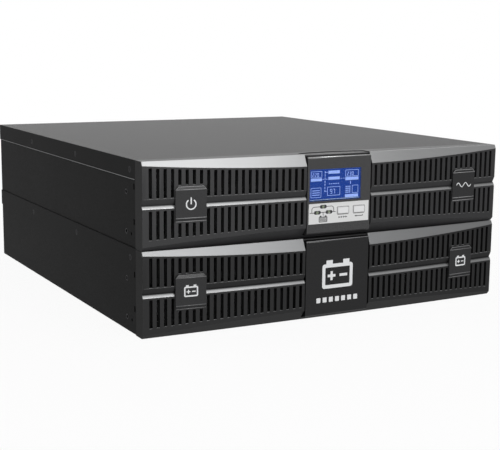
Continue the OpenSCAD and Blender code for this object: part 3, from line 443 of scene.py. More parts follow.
class Drawing:
    """Collects flat raised shapes into one piece. Their depth runs from y0, the outer face, to y1."""

    def __init__(self, y0, y1):
        self.mesh = bmesh.new()
        self.y0 = y0
        self.y1 = y1

    def slab(self, loop):
        near = [self.mesh.verts.new((x, self.y0, z)) for x, z in loop]
        far = [self.mesh.verts.new((x, self.y1, z)) for x, z in loop]
        self.mesh.faces.new(near)
        self.mesh.faces.new(far[::-1])
        for i in range(len(loop)):
            j = (i + 1) % len(loop)
            self.mesh.faces.new((near[j], near[i], far[i], far[j]))

    def ring(self, outer, inner):
        rows = [[self.mesh.verts.new((x, y, z)) for x, z in loop]
                for loop, y in ((outer, self.y0), (inner, self.y0), (inner, self.y1), (outer, self.y1))]
        for first, second in zip(rows, rows[1:] + rows[:1]):
            for i in range(len(outer)):
                j = (i + 1) % len(outer)
                self.mesh.faces.new((first[i], first[j], second[j], second[i]))

    def bar(self, x0, z0, x1, z1):
        self.slab(box_loop(x0, z0, x1, z1))

    def frame_box(self, x0, z0, x1, z1, stroke, r):
        inner = max(r - stroke, r * 0.2)
        self.ring(round_rect(x0, z0, x1, z1, r),
                  round_rect(x0 + stroke, z0 + stroke, x1 - stroke, z1 - stroke, inner))

    def path(self, points, stroke, closed=False):
        """A line of even width along points."""
        count = len(points)
        left, right = [], []
        for i, (x, z) in enumerate(points):
            before = points[i - 1] if i or closed else points[0]
            after = points[(i + 1) % count] if i + 1 < count or closed else points[-1]
            along = Vector((after[0] - before[0], after[1] - before[1])).normalized()
            left.append((x - along.y * stroke / 2, z + along.x * stroke / 2))
            right.append((x + along.y * stroke / 2, z - along.x * stroke / 2))
        if closed:
            self.ring(left, right)
        else:
            self.slab(left + right[::-1])

    def digit(self, value, x, z, w, h, stroke):
        """A seven-segment digit with its lower left corner at x, z."""
        lit = {"0": "abcdef", "1": "bc", "2": "abged", "3": "abgcd", "4": "fgbc", "5": "afgcd",
               "6": "afgedc", "7": "abc", "8": "abcdefg", "9": "abcdfg"}[value]
        gap, mid = stroke * 0.15, z + h / 2
        bars = {"a": (x + stroke, z + h - stroke, x + w - stroke, z + h),
                "d": (x + stroke, z, x + w - stroke, z + stroke),
                "g": (x + stroke, mid - stroke / 2, x + w - stroke, mid + stroke / 2),
                "f": (x, mid + gap, x + stroke, z + h - gap), "e": (x, z + gap, x + stroke, mid - gap),
                "b": (x + w - stroke, mid + gap, x + w, z + h - gap),
                "c": (x + w - stroke, z + gap, x + w, mid - gap)}
        for segment in lit:
            self.bar(*bars[segment])

    def piece(self, name, look, body, slot, place=None, rounding=0.0):
        bmesh.ops.recalc_face_normals(self.mesh, faces=self.mesh.faces)
        data = bpy.data.meshes.new(name)
        self.mesh.to_mesh(data)
        self.mesh.free()
        return add_piece(name, data, look, body, place, rounding)


def add_piece(name, data, look, body, place=None, rounding=0.0):
    made = bpy.data.objects.new(name, data)
    bpy.context.scene.collection.objects.link(made)
    if place is not None:
        data.transform(place)
    data.materials.append(LOOKS[look])
    if rounding:
        bevel = made.modifiers.new("rounding", "BEVEL")
        bevel.width = rounding
        bevel.segments = 2
        bevel.limit_method = "ANGLE"
        bevel.angle_limit = SHARP
        bevel.harden_normals = True
        for face in data.polygons:
            face.use_smooth = True
    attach(made, body)
    return made


def sweep(mesh, points, radius, closed=False, sides=10):
    """Adds a round wire along points to a bmesh."""
    rings = []
    count = len(points)
    for i, point in enumerate(points):
        before = points[i - 1] if i or closed else points[0]
        after = points[(i + 1) % count] if i + 1 < count or closed else points[-1]
        along = (after - before).normalized()
        side = along.cross(Vector((0, 1, 0)))
        side = (side if side.length > 0.01 else Vector((1, 0, 0))).normalized()
        up = side.cross(along).normalized()
        ring = []
        for k in range(sides):
            a = 2 * math.pi * k / sides
            ring.append(mesh.verts.new(point + radius * (math.cos(a) * side + math.sin(a) * up)))
        rings.append(ring)
    pairs = list(zip(rings, rings[1:])) + ([(rings[-1], rings[0])] if closed else [])
    for first, second in pairs:
        for k in range(sides):
            j = (k + 1) % sides
            mesh.faces.new((first[k], first[j], second[j], second[k]))
    if not closed:
        mesh.faces.new(rings[0])
        mesh.faces.new(rings[-1][::-1])


def mesh_piece(name, mesh, look, body, smooth=True):
    bmesh.ops.recalc_face_normals(mesh, faces=mesh.faces)
    data = bpy.data.meshes.new(name)
    mesh.to_mesh(data)
    mesh.free()
    for face in data.polygons:
        face.use_smooth = smooth
    return add_piece(name, data, look, body)


# ---------- prints and small parts on the front ----------

def draw_lcd():
    """The display's contents: boxes with figures, label bars and the lines that join them."""
    low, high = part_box("lcd_module")
    width, height = high.x - low.x, high.z - low.z
    face = low.y
    ink = Drawing(face - INK, face + INK)

    def at(u, v):
        return low.x + u * width, high.z - v * height

    def fill(u0, v0, u1, v1):
        x0, z1 = at(u0, v0)
        x1, z0 = at(u1, v1)
        ink.bar(x0, z0, x1, z1)

    def outline(u0, v0, u1, v1, stroke=0.5 * MM):
        x0, z1 = at(u0, v0)
        x1, z0 = at(u1, v1)
        ink.frame_box(x0, z0, x1, z1, stroke, 0.7 * MM)

    def figures(text, u, v, w=2.1 * MM, h=3.8 * MM):
        x, z = at(u, v)
        for i, value in enumerate(text):
            ink.digit(value, x + i * (w + 0.9 * MM), z, w, h, 0.55 * MM)

    # mains, bypass, output, battery and load fields
    outline(0.02, 0.05, 0.235, 0.26)
    figures("220", 0.045, 0.225)
    fill(0.02, 0.28, 0.235, 0.37)
    fill(0.36, 0.05, 0.585, 0.15)
    fill(0.36, 0.25, 0.585, 0.345)
    outline(0.70, 0.05, 0.965, 0.27)
    figures("230", 0.735, 0.235)
    fill(0.70, 0.29, 0.965, 0.39)
    outline(0.345, 0.57, 0.60, 0.86)
    figures("97", 0.40, 0.80, 2.6 * MM, 5 * MM)
    outline(0.02, 0.58, 0.225, 0.90)
    for v in (0.66, 0.73, 0.80):
        fill(0.05, v, 0.195, v + 0.025)
    outline(0.84, 0.56, 0.965, 0.82)
    fill(0.70, 0.85, 0.965, 0.95)
    for row in range(4):
        for column in range(3):
            u, v = 0.71 + column * 0.036, 0.58 + row * 0.062
            fill(u, v, u + 0.024, v + 0.036)
    # joining lines
    for v in (0.06, 0.16, 0.26, 0.36, 0.46, 0.56, 0.66):
        fill(0.29, v, 0.302, v + 0.07)
    fill(0.302, 0.09, 0.35, 0.105)
    fill(0.302, 0.70, 0.335, 0.715)
    for u in (0.245, 0.31, 0.60, 0.65):
        fill(u, 0.31, u + 0.035, 0.325)
    fill(0.80, 0.42, 0.812, 0.52)
    for i in range(6):
        fill(0.38 + i * 0.035, 0.46, 0.40 + i * 0.035, 0.49)
    ink.piece("lcd_figures", "lcd_ink", BODY_OF["lcd_module"], "lcd_blue")
    # the light that leaks along the glass edge at the foot
    edge = Drawing(face - INK, face + INK)
    edge.bar(low.x + 0.4 * MM, low.z + 0.5 * MM, high.x - 0.4 * MM, low.z + 1.3 * MM)
    edge.piece("lcd_foot_edge", "lcd_edge", BODY_OF["lcd_module"], "lcd_blue")


LIGHT_SPACING = 7.2 * MM                      # half the distance between the two lower lights
KEY_HALF_W = 6.65 * MM
KEY_HALF_H = 3.3 * MM


def draw_mimic():
    """The flow diagram round the three lights, and a mark under each key."""
    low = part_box("control_panel")[0]
    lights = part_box("status_lights")
    face = low.y
    ink = Drawing(face - INK, face + INK)
    middle = (lights[0].x + lights[1].x) / 2
    line_z = lights[0].z + 1.6 * MM
    loop_z = lights[1].z - 1.4 * MM
    stroke = 0.6 * MM
    turn = 3 * MM
    ink.bar(low.x + 1 * MM, line_z - stroke / 2, middle + 15.5 * MM, line_z + stroke / 2)
    for x, inward in ((middle - 14 * MM, turn), (middle + 13 * MM, -turn)):
        corner = arc(x + inward, loop_z - turn, turn, 180 if inward > 0 else 0, 90, 8)
        ink.path([(x, line_z)] + corner + [(middle, loop_z)], stroke)
    surround = Drawing(face - INK * 1.6, face + INK)
    spots = ((middle, lights[1].z - 1.5 * MM), (middle - LIGHT_SPACING, line_z),
             (middle + LIGHT_SPACING, line_z))
    for x, z in spots:
        surround.ring(round_rect(x - 4.1 * MM, z - 1.9 * MM, x + 4.1 * MM, z + 1.9 * MM, 1.75 * MM),
                      round_rect(x - 1.65 * MM, z - 1.6 * MM, x + 1.65 * MM, z + 1.6 * MM, 1.55 * MM))
    surround.piece("light_surrounds", "print_grey", BODY_OF["control_panel"], "part_black")
    # the battery under the diagram
    foot, head = low.z + 1.6 * MM, low.z + 7.4 * MM
    ink.bar(middle - stroke / 2, head + 1.2 * MM, middle + stroke / 2, line_z)
    ink.frame_box(middle - 5.2 * MM, foot, middle + 5.2 * MM, head, 0.7 * MM, 0.9 * MM)
    for side in (-1, 1):
        ink.bar(middle + side * 3.1 * MM - 1 * MM, head, middle + side * 3.1 * MM + 1 * MM, head + 1.1 * MM)
    for row in range(3):
        for column in range(6):
            x = middle - 4.1 * MM + column * 1.45 * MM
            z = foot + 1.2 * MM + row * 1.35 * MM
            ink.bar(x, z, x + 1.05 * MM, z + 0.9 * MM)
    # triangles under the select key, a return arrow under the enter key
    for key in ("select_button", "enter_button"):
        c = centre(key)
        z = c.z - 7.2 * MM
        if key == "select_button":
            for x in (c.x + dx * MM for dx in (-5.4, -2.6, 0.4, 3.2)):
                ink.slab([(x, z + 1 * MM), (x, z - 1 * MM), (x + 2.2 * MM, z)])
        else:
            ink.bar(c.x - 3.2 * MM, z - 0.3 * MM, c.x + 5.2 * MM, z + 0.3 * MM)
            ink.bar(c.x + 4.6 * MM, z, c.x + 5.2 * MM, z + 1.3 * MM)
            ink.slab([(c.x - 3 * MM, z + 1 * MM), (c.x - 5.2 * MM, z), (c.x - 3 * MM, z - 1 * MM)])
        # a thin line round the key, heavier under it
        half_w, half_h = KEY_HALF_W + 0.9 * MM, KEY_HALF_H + 0.9 * MM
        foot = c.z - half_h
        ink.frame_box(c.x - half_w, foot, c.x + half_w, c.z + half_h, 0.25 * MM, 0.9 * MM)
        ink.bar(c.x - half_w + 1 * MM, foot - 0.3 * MM, c.x + half_w - 1 * MM, foot + 0.3 * MM)
    ink.piece("mimic_print", "print_grey", BODY_OF["control_panel"], "part_black")


def on_badge(side, z):
    slope = math.atan(2 * (BEZEL_MID - BEZEL_END) * BADGE_X / HALF_W ** 2)
    return (Matrix.Translation((side * BADGE_X, FRONT_Y - reach(BADGE_X), z + BADGE_Z))
            @ Matrix.Rotation(side * slope, 4, "Z"))


def battery_icon(ink, w, h, stroke, x=0.0, z=0.0):
    """An accumulator: a rounded case with two terminals, plus and minus."""
    ink.frame_box(x - w / 2, z - h / 2, x + w / 2, z + h / 2, stroke, stroke * 1.1)
    for dx in (-w * 0.27, w * 0.27):
        ink.bar(x + dx - w * 0.1, z + h / 2 - stroke * 0.2, x + dx + w * 0.1, z + h / 2 + stroke)
    thin = stroke * 0.75
    reach_x = w * 0.13
    for dx, upright in ((-w * 0.19, True), (w * 0.19, False)):
        ink.bar(x + dx - reach_x, z - thin / 2, x + dx + reach_x, z + thin / 2)
        if upright:
            ink.bar(x + dx - thin / 2, z + thin / 2, x + dx + thin / 2, z + reach_x)
            ink.bar(x + dx - thin / 2, z - reach_x, x + dx + thin / 2, z - thin / 2)


def draw_badges():
    y0, y1 = -BADGE_PROUD - 0.15 * MM, -BADGE_PROUD + 0.05 * MM
    # power symbol on the left badge of the UPS module
    ink = Drawing(y0, y1)
    ink.path(arc(0, -0.5 * MM, 5 * MM, 125, 415, 40), 1.3 * MM)
    ink.bar(-0.65 * MM, -0.5 * MM, 0.65 * MM, 6.2 * MM)
    ink.piece("badge_power_mark", "print_white", BODY_OF["ups_badges"], "silver_trim", on_badge(-1, UPS_Z))
    # a wave on the right one, for clean mains
    ink = Drawing(y0, y1)
    span, height, step = 11 * MM, 2.3 * MM, 0.5 * MM
    wave = [(i * step - span, height * math.sin(2 * math.pi * i * step / span)) for i in range(45)]
    ink.path(wave, 0.9 * MM)
    ink.piece("badge_wave_mark", "print_white", BODY_OF["ups_badges"], "silver_trim", on_badge(1, UPS_Z))
    for side, name in ((-1, "left"), (1, "right")):
        ink = Drawing(y0, y1)
        battery_icon(ink, 15 * MM, 10.5 * MM, 1.5 * MM)
        ink.piece(f"badge_battery_mark_{name}", "print_white", BODY_OF["battery_badges"], "silver_trim",
                  on_badge(side, 0))


def badge_beads(node, z, name, look):
    """Light beads across a badge, as painted highlights: along its top, above and below its flat face, and
    at its foot.
    """
    mesh = bmesh.new()
    half, corner, drop = 16.2 * MM, 3 * MM, 3.3 * MM
    head, flat, foot = 17 * MM, 14.1 * MM, -17.3 * MM
    top = [(-half, head - drop), (-half + corner, head), (half - corner, head), (half, head - drop)]
    rows = [(1.0 * MM, top)]
    for proud, height in ((BADGE_PROUD, flat), (BADGE_PROUD, -flat), (0.9 * MM, foot)):
        rows.append((proud, [(-half, height), (half, height)]))
    for side in (-1, 1):
        place = on_badge(side, z)
        for proud, line in rows:
            sweep(mesh, [place @ Vector((x, -proud, h)) for x, h in line], BEAD_R, sides=8)
    mesh_piece(name, mesh, look, BODY_OF[node])


def insert_highlight_bead(node, name, look, r):
    """A light bead along the rounded top edge of a centre insert: a painted highlight."""
    inset = INSERT_ROUND * (1 - math.sqrt(0.5))
    half = INSERT_HALF_W - 0.2 * MM
    y, z = FRONT_Y - INSERT_FRONT + inset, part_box(node)[1].z - inset
    mesh = bmesh.new()
    sweep(mesh, [Vector((-half, y, z)), Vector((half, y, z))], r, sides=12)
    mesh_piece(name, mesh, look, BODY_OF[node])


def channel_lip(node, z, name):
    """A light line along the upper lip of the groove between the grille rows, clear of the badges: a painted
    highlight.
    """
    mesh = bmesh.new()
    gap = BADGE_HALF_W + 0.5 * MM
    for side in (-1, 1):
        for x0, x1 in ((POCKET_X, BADGE_X - gap), (BADGE_X + gap, HALF_W - 0.8 * MM)):
            run = [x0 + (x1 - x0) * i / LIP_STEPS for i in range(LIP_STEPS + 1)]
            line = [Vector((side * x, FRONT_Y - reach(x) + 0.1 * MM, z + LIP_Z)) for x in run]
            sweep(mesh, line, LIP_R, sides=8)
    mesh_piece(name, mesh, "lip_highlight", BODY_OF[node])


def slot_feet(node, z, name):
    """A light rounded front edge at the foot of every slot in both rows of a grille: a painted highlight."""
    mesh = bmesh.new()
    for i in range(SLOTS):
        x = SLOT_FIRST + i * SLOT_PITCH
        y = FRONT_Y - reach(x) + 0.25 * MM
        low_foot = LOW_ROW_FOOT - LOW_ROW_FALL * (x / HALF_W) ** 2
        high_foot = BADGE_HEAD if i in SLOTS_AT_BADGE else HIGH_ROW_FOOT
        for foot in (low_foot, high_foot):
            for side in (-1, 1):
                ends = [Vector((side * x + dx, y, z + foot)) for dx in (-SLOT_HALF_W, SLOT_HALF_W)]
                sweep(mesh, ends, FOOT_R, sides=8)
    mesh_piece(name, mesh, "foot_highlight", BODY_OF[node])


def side_seals():
    """Thin strips that close the gap between the two modules along both sides."""
    mesh = bmesh.new()
    low_z, high_z = MODULE_H - 0.02 * MM, UPS_Z - 0.04 * MM
    for side in (-1, 1):
        size = (0.9 * MM, REAR_Y - FRONT_Y - 2 * MM, high_z - low_z)
        middle = Vector((side * (HALF_W - 0.6 * MM), (FRONT_Y + REAR_Y) / 2, (low_z + high_z) / 2))
        bmesh.ops.create_cube(mesh, size=1, matrix=Matrix.Translation(middle) @ Matrix.Diagonal((*size, 1)))
    mesh_piece("side_seals", mesh, "cover_paint", BODY_OF["battery_top_cover"], smooth=False)


def ear_eyelets():
    """Light rims round the ear holes in both sides of both modules: painted highlights."""
    rims = Drawing(-0.12 * MM, 0.05 * MM)
    rims.ring(round_loop(0, 0, EYELET_R, 32), round_loop(0, 0, EYELET_HOLE_R, 32))
    data = bpy.data.meshes.new("eyelet")
    bmesh.ops.recalc_face_normals(rims.mesh, faces=rims.mesh.faces)
    rims.mesh.to_mesh(data)
    rims.mesh.free()
    for body, base in ((BODY_OF["ups_chassis"], UPS_Z), (BODY_OF["battery_chassis"], 0)):
        for side, word in ((-1, "left"), (1, "right")):
            turn = Matrix.Rotation(side * math.pi / 2, 4, "Z")
            for i, z in enumerate(EAR_HOLE_Z):
                hole = (side * (HALF_W - 1 * MM), FRONT_Y + EAR_HOLE_Y, base + z)
                place = Matrix.Translation(hole) @ turn
                name = f"{body}_eyelet_{word}_{i}"
                add_piece(name, data.copy(), "eyelet_steel", body, place)


def draw_battery_plate():
    """Rounded outline that stands for the plain symbol on the battery box's plate."""
    low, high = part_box("battery_symbol")
    ink = Drawing(low.y, high.y)
    stroke = 3.8 * MM
    case_foot, case_head = low.z + 15.2 * MM, low.z + 41.6 * MM
    ink.frame_box(-19.2 * MM, case_foot, 19.2 * MM, case_head, stroke, 3 * MM)
    for x in (-10.3 * MM, 10.8 * MM):
        ink.bar(x - 4 * MM, case_head - 0.1 * MM, x + 4 * MM, high.z - 0.9 * MM)
    middle = (case_foot + case_head) / 2 + 0.4 * MM
    half_line, arm = 1.45 * MM, 4.9 * MM
    for x in (-7.5 * MM, 7.4 * MM):
        ink.bar(x - arm, middle - half_line, x + arm, middle + half_line)
    for z in (middle + half_line, middle - arm):
        ink.bar(-7.5 * MM - half_line, z, -7.5 * MM + half_line, z + arm - half_line)
    # charge bars under it
    for i in range(7):
        x = (-25.9 + i * 7.8) * MM
        ink.slab(round_rect(x, low.z + 0.4 * MM, x + 5 * MM, low.z + 5.8 * MM, 0.6 * MM))
    made = ink.piece("battery_plate_symbol", "print_white", BODY_OF["battery_symbol"], "silver_trim",
                     rounding=0.1 * MM)
    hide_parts("battery_symbol")


def cover_hem_highlights():
    """A light strip along the cut edge of the UPS module's cover, under its side flanges: a painted
    highlight.
    """
    low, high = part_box("ups_top_cover")
    mesh = bmesh.new()
    hem = 0.6 * MM
    for side in (-1, 1):
        x0, x1 = side * (HALF_W - 0.75 * MM), side * (HALF_W - 0.05 * MM)
        y0, y1 = low.y + 2 * MM, high.y - 1 * MM
        foot, chamfer = low.z - hem, side * 0.2 * MM
        corners = [(x0, low.z), (x0, foot), (x1 - chamfer, foot), (x1, low.z - hem * 0.6), (x1, low.z)]
        near = [mesh.verts.new((x, y0, z)) for x, z in corners]
        far = [mesh.verts.new((x, y1, z)) for x, z in corners]
        mesh.faces.new(near)
        mesh.faces.new(far)
        for i in range(len(corners)):
            j = (i + 1) % len(corners)
            mesh.faces.new((near[i], near[j], far[j], far[i]))
    mesh_piece("cover_hem_highlights", mesh, "hem_highlight", BODY_OF["ups_top_cover"], smooth=False)


# ---------- fans ----------

FAN_CENTRES = [centre("fan_rotor_left").x, centre("fan_rotor_right").x]
FAN_Z = (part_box("fan_frames")[0].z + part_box("fan_frames")[1].z) / 2
GUARD_RADII = [9.4 * MM, 16.7 * MM, 24 * MM, 31.3 * MM, 37.8 * MM]
HOLE_HALF = 35.75 * MM                        # half the distance between a fan's screws
WIRE_R = 0.8 * MM


def circle(x, y, z, r, steps=72):
    angles = [2 * math.pi * i / steps for i in range(steps)]
    return [Vector((x + r * math.cos(a), y, z + r * math.sin(a))) for a in angles]


def fan_guards():
    """Finger guards of round wire: rings on two crossed spokes, and an eye round each screw."""
    mesh = bmesh.new()
    ring_y = REAR_Y + 1.2 * MM
    spoke_y = REAR_Y + 0.8 * MM
    for cx in FAN_CENTRES:
        for r in GUARD_RADII:
            sweep(mesh, circle(cx, ring_y, FAN_Z, r), WIRE_R, closed=True)
        for dx, dz in ((1, 1), (1, -1), (-1, 1), (-1, -1)):
            inner = GUARD_RADII[0] / math.sqrt(2)
            outer = HOLE_HALF - 2.2 * MM
            points = [Vector((cx + dx * (inner + (outer - inner) * i / 8), spoke_y,
                              FAN_Z + dz * (inner + (outer - inner) * i / 8))) for i in range(9)]
            sweep(mesh, points, WIRE_R * 0.95)
            sweep(mesh, circle(cx + dx * HOLE_HALF, spoke_y, FAN_Z + dz * HOLE_HALF, 3.1 * MM, 24),
                  WIRE_R * 0.95, closed=True)
    made = mesh_piece("fan_guard_wires", mesh, "guard_wire", BODY_OF["fan_guards"])
    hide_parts("fan_guards")


def fan_rotor(node):
    """A hub with seven curved blades, each twisted from root to tip, on a short shaft."""
    low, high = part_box(node)
    cx, cz = (low.x + high.x) / 2, FAN_Z
    mesh = bmesh.new()
    hub_r, tip_r = 14.9 * MM, 36.2 * MM
    hub_y0, hub_y1 = high.y - 17 * MM, high.y
    shoulder, shaft_r = 1.6 * MM, 1.5 * MM
    profile = [(0, hub_y1), (hub_r - shoulder, hub_y1)]
    for i in range(1, 6):
        a = math.radians(90 * i / 5)
        profile.append((hub_r - shoulder * (1 - math.sin(a)), hub_y1 - shoulder * (1 - math.cos(a))))
    profile += [(hub_r, hub_y0), (shaft_r, hub_y0), (shaft_r, low.y), (0, low.y)]
    steps = 64
    rows = []
    for r, y in profile:
        if r == 0:
            rows.append([mesh.verts.new((cx, y, cz))] * steps)
        else:
            rows.append([mesh.verts.new(point) for point in circle(cx, y, cz, r, steps)])
    for first, second in zip(rows, rows[1:]):
        for k in range(steps):
            j = (k + 1) % steps
            corners = []
            for v in (first[k], first[j], second[j], second[k]):
                if v not in corners:
                    corners.append(v)
            mesh.faces.new(corners)
    blades, across, along = 7, 8, 8
    thick = 1.3 * MM
    for b in range(blades):
        start = 2 * math.pi * b / blades
        sides = []
        for face in (-1, 1):
            grid = []
            for i in range(along + 1):
                t = i / along
                r = hub_r - 0.6 * MM + (tip_r - hub_r + 0.6 * MM) * t
                pitch = math.radians(52 - 20 * t)
                chord = 15.5 * MM + 3.5 * MM * t
                row = []
                for j in range(across + 1):
                    s = j / across - 0.5
                    camber = 1.6 * MM * (1 - 4 * s * s)
                    half = face * thick / 2 * (1 - 0.7 * abs(2 * s) ** 3)
                    lift = chord * s * math.sin(pitch) + (camber + half) * math.cos(pitch)
                    turn = (chord * s * math.cos(pitch) - (camber + half) * math.sin(pitch)) / r
                    angle = start + turn + 0.28 * t
                    row.append(mesh.verts.new((cx + r * math.cos(angle), (hub_y0 + hub_y1) / 2 + lift,
                                               cz + r * math.sin(angle))))
                grid.append(row)
            sides.append(grid)
        for grid in sides:
            for i in range(along):
                for j in range(across):
                    mesh.faces.new((grid[i][j], grid[i + 1][j], grid[i + 1][j + 1], grid[i][j + 1]))
        lower, upper = sides
        for i in range(along):
            for j in (0, across):
                mesh.faces.new((lower[i][j], lower[i + 1][j], upper[i + 1][j], upper[i][j]))
        for j in range(across):
            for i in (0, along):
                mesh.faces.new((lower[i][j], lower[i][j + 1], upper[i][j + 1], upper[i][j]))
    made = mesh_piece(f"{node}_blades", mesh, "fan_plastic", BODY_OF[node])
    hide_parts(node)
    # a plain round sticker on the hub
    disc = Drawing(high.y - 0.05 * MM, high.y + INK)
    disc.slab(round_loop(cx, cz, 11 * MM, 48))
    disc.piece(f"{node}_sticker", "label_paper", BODY_OF[node], "panel_silver")


# ---------- prints on the rear ----------

EARTH_X = 205 * MM                            # the earth mark, beside the screw
EARTH_Z = 35.5 * MM                           # from the module's underside
LABEL_X = (34 * MM, 76 * MM)                  # the blank rating label
LABEL_Z = (12 * MM, 32 * MM)


def earth_mark(ink, x, z):
    ink.bar(x - 0.25 * MM, z, x + 0.25 * MM, z + 2.4 * MM)
    for i, half in enumerate((2.2, 1.4, 0.6)):
        ink.bar(x - half * MM, z - i * 0.9 * MM - 0.45 * MM, x + half * MM, z - i * 0.9 * MM)


def arrow(ink, x, z, inward):
    """A plug arrow: down for what goes in, up for what comes out."""
    way = -1 if inward else 1
    ink.bar(x - 0.35 * MM, z - 1.6 * MM, x + 0.35 * MM, z + 1.6 * MM)
    neck, tip = z + way * 1.2 * MM, z + way * 3.2 * MM
    ink.slab([(x - 1.5 * MM, neck), (x + 1.5 * MM, neck), (x, tip)])


def pole_marks(ink, node_low, node_high):
    """Plus and minus over the two mouths of a DC connector."""
    x = (node_low.x + node_high.x) / 2
    z = node_high.z + 3.4 * MM
    for dx in (-10 * MM, 10 * MM):
        ink.bar(x + dx - 1.6 * MM, z - 0.3 * MM, x + dx + 1.6 * MM, z + 0.3 * MM)
    ink.bar(x + 10 * MM - 0.3 * MM, z + 0.3 * MM, x + 10 * MM + 0.3 * MM, z + 1.6 * MM)
    ink.bar(x + 10 * MM - 0.3 * MM, z - 1.6 * MM, x + 10 * MM + 0.3 * MM, z - 0.3 * MM)


def draw_rear():
    ink = Drawing(REAR_Y + INK, REAR_Y - INK)
    low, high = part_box("mains_inlet")
    arrow(ink, low.x - 3.2 * MM, (low.z + high.z) / 2, True)
    low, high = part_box("outlet_sockets")
    arrow(ink, low.x - 3.2 * MM, (low.z + high.z) / 2, False)
    margin = 1.3 * MM
    ink.frame_box(low.x - margin, low.z - margin, high.x + margin, high.z + margin, 0.35 * MM, 2 * MM)
    pole_marks(ink, *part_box("ups_battery_connector"))
    earth_mark(ink, EARTH_X, UPS_Z + EARTH_Z)
    knob = centre("input_reset_button")
    ink.ring(round_loop(knob.x, knob.z, 11.4 * MM, 48), round_loop(knob.x, knob.z, 11.05 * MM, 48))
    ink.piece("ups_rear_print", "print_white", BODY_OF["ups_rear_panel"], "white_knob")

    ink = Drawing(REAR_Y + INK, REAR_Y - INK)
    low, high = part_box("dc_connectors")
    middle = (low.x + high.x) / 2
    for x0, x1 in ((low.x, middle - 6 * MM), (middle + 6 * MM, high.x)):
        pole_marks(ink, Vector((x0, 0, low.z)), Vector((x1, 0, high.z)))
    earth_mark(ink, EARTH_X, EARTH_Z)
    # on and off marks over and under the breaker
    ink.bar(-0.4 * MM, 71 * MM, 0.4 * MM, 75 * MM)
    ink.ring(round_loop(0, 14.5 * MM, 2 * MM, 24), round_loop(0, 14.5 * MM, 1.4 * MM, 24))
    battery_icon(ink, 14 * MM, 9 * MM, 1 * MM, 120 * MM, 72 * MM)
    ink.piece("battery_rear_print", "print_white", BODY_OF["battery_rear_panel"], "white_knob")

    # a plain rating label: ruled, with nothing written on it
    label = Drawing(REAR_Y + 1.5 * INK, REAR_Y - INK)
    label.slab(round_rect(LABEL_X[0], LABEL_Z[0], LABEL_X[1], LABEL_Z[1], 1 * MM))
    label.piece("battery_rating_label", "label_paper", BODY_OF["battery_rear_panel"], "panel_silver")
    rules = Drawing(REAR_Y + 2.2 * INK, REAR_Y + INK)
    margin, row, half_line = 3 * MM, 4 * MM, 0.15 * MM
    heights = [LABEL_Z[0] + i * row for i in range(1, 5)]
    for z in heights:
        rules.bar(LABEL_X[0] + margin, z - half_line, LABEL_X[1] - margin, z + half_line)
    middle = (LABEL_X[0] + LABEL_X[1]) / 2
    rules.bar(middle - half_line, heights[0], middle + half_line, heights[-1])
    rules.piece("battery_rating_rules", "print_grey", BODY_OF["battery_rear_panel"], "part_black")


# ---------- floor and light ----------

FLOOR_SHARE = 0.06                            # how much of the floor's own tone shows before the backdrop's
ROOM = 0.42                                   # radiance of the studio round the object
ROOM_LEFT = 0.18                              # and of its left side, which is in shade
ROOM_RIGHT = 0.65                             # share that is left of it at the far right
# name, place, aim, size and radiance of each soft light
SOFTBOXES = (
    ("backdrop", (1.35, 2.3, 0.75), (0, 0, 0.2), (3.2, 1.5), 0.82),
    ("key", (0.32, -1.3, 1.25), (0, -0.24, 0.12), (0.85, 1.0), 0.88),
    ("overhead", (0.4, 0.2, 2.2), (0, 0, 0), (2.0, 2.0), 0.5),
    ("front", (-0.15, -2.4, 0.75), (0, -0.24, 0.09), (1.6, 0.8), 6.0),
)


def add_floor():
    """A pale sheet under the object that thins out towards the backdrop."""
    mesh = bmesh.new()
    bmesh.ops.create_grid(mesh, x_segments=1, y_segments=1, size=7)
    data = bpy.data.meshes.new("floor")
    mesh.to_mesh(data)
    mesh.free()
    floor = bpy.data.objects.new("floor", data)
    bpy.context.scene.collection.objects.link(floor)
    floor.location.z = -0.0002
    made = bpy.data.materials.new("floor")
    made.use_nodes = True
    tree = made.node_tree
    shader = tree.nodes["Principled BSDF"]
    shader.inputs["Roughness"].default_value = 0.9
    shader.inputs["Specular IOR Level"].default_value = 0.1
    coords = tree.nodes.new("ShaderNodeTexCoord").outputs["Object"]
    tone = blend_colours(tree, noise(tree, coords, 3, 2), (0.86, 0.86, 0.86), (0.88, 0.88, 0.88))
    tree.links.new(tone, shader.inputs["Base Color"])
    length = tree.nodes.new("ShaderNodeVectorMath")
    length.operation = "LENGTH"
    tree.links.new(coords, length.inputs[0])
    share = remap(tree, length.outputs["Value"], FLOOR_SHARE, 0.0, 0.3, 1.5)
    tree.links.new(share, shader.inputs["Alpha"])
    data.materials.append(made)


def add_softbox(name, place, target, size, radiance):
    """A rectangular soft light. Its radiance is given, so its power follows from its size."""
    data = bpy.data.lights.new(name, "AREA")
    data.shape = "RECTANGLE"
    data.size, data.size_y = size
    data.energy = radiance * math.pi * size[0] * size[1]
    light = bpy.data.objects.new(name, data)
    bpy.context.scene.collection.objects.link(light)
    light.location = place
    light.rotation_mode = "QUATERNION"
    light.rotation_quaternion = (Vector(target) - Vector(place)).to_track_quat("-Z", "Y")
    light.visible_camera = False


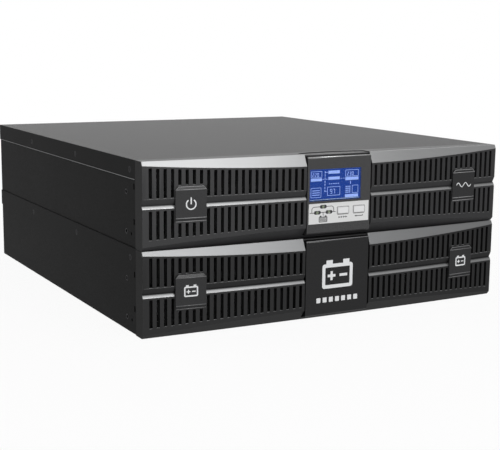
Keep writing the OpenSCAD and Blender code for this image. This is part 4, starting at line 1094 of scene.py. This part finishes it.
def add_light():
    world = bpy.data.worlds.new("studio")
    world.use_nodes = True
    tree = world.node_tree
    backdrop = tree.nodes["Background"]
    backdrop.inputs["Color"].default_value = (1, 1, 1, 1)
    backdrop.inputs["Strength"].default_value = 1.0
    room = node_of(tree, "ShaderNodeBackground", Color=(1, 1, 1, 1))
    direction = tree.nodes.new("ShaderNodeSeparateXYZ")
    tree.links.new(tree.nodes.new("ShaderNodeTexCoord").outputs["Generated"], direction.inputs["Vector"])
    fall = tree.nodes.new("ShaderNodeMath")
    fall.operation = "MULTIPLY"
    tree.links.new(remap(tree, direction.outputs["X"], ROOM_LEFT, ROOM, -0.55, 0.05), fall.inputs[0])
    tree.links.new(remap(tree, direction.outputs["X"], 1.0, ROOM_RIGHT, 0.48, 0.68), fall.inputs[1])
    tree.links.new(fall.outputs["Value"], room.inputs["Strength"])
    seen = tree.nodes.new("ShaderNodeLightPath").outputs["Is Camera Ray"]
    mix = tree.nodes.new("ShaderNodeMixShader")
    tree.links.new(seen, mix.inputs["Fac"])
    tree.links.new(room.outputs["Background"], mix.inputs[1])
    tree.links.new(backdrop.outputs["Background"], mix.inputs[2])
    tree.links.new(mix.outputs["Shader"], tree.nodes["World Output"].inputs["Surface"])
    bpy.context.scene.world = world
    bpy.context.scene.view_settings.view_transform = "Standard"
    for softbox in SOFTBOXES:
        add_softbox(*softbox)


# ---------- everything together ----------

add_camera()
for node in NODES:
    dress(node)
draw_lcd()
draw_mimic()
draw_badges()
badge_beads("ups_badges", UPS_Z, "ups_badge_highlights", "badge_bead")
badge_beads("battery_badges", 0, "battery_badge_highlights", "badge_highlight_shaded")
insert_highlight_bead("display_housing", "insert_highlight_bead", "bright_highlight_bead", 0.55 * MM)
insert_highlight_bead("battery_plate", "battery_plate_highlight_bead", "badge_bead", 0.4 * MM)
channel_lip("ups_bezel", UPS_Z, "ups_channel_lip")
channel_lip("battery_bezel", 0, "battery_channel_lip")
slot_feet("ups_bezel", UPS_Z, "ups_slot_feet")
slot_feet("battery_bezel", 0, "battery_slot_feet")
draw_battery_plate()
cover_hem_highlights()
side_seals()
ear_eyelets()
fan_guards()
fan_rotor("fan_rotor_left")
fan_rotor("fan_rotor_right")
draw_rear()
add_floor()
add_light()
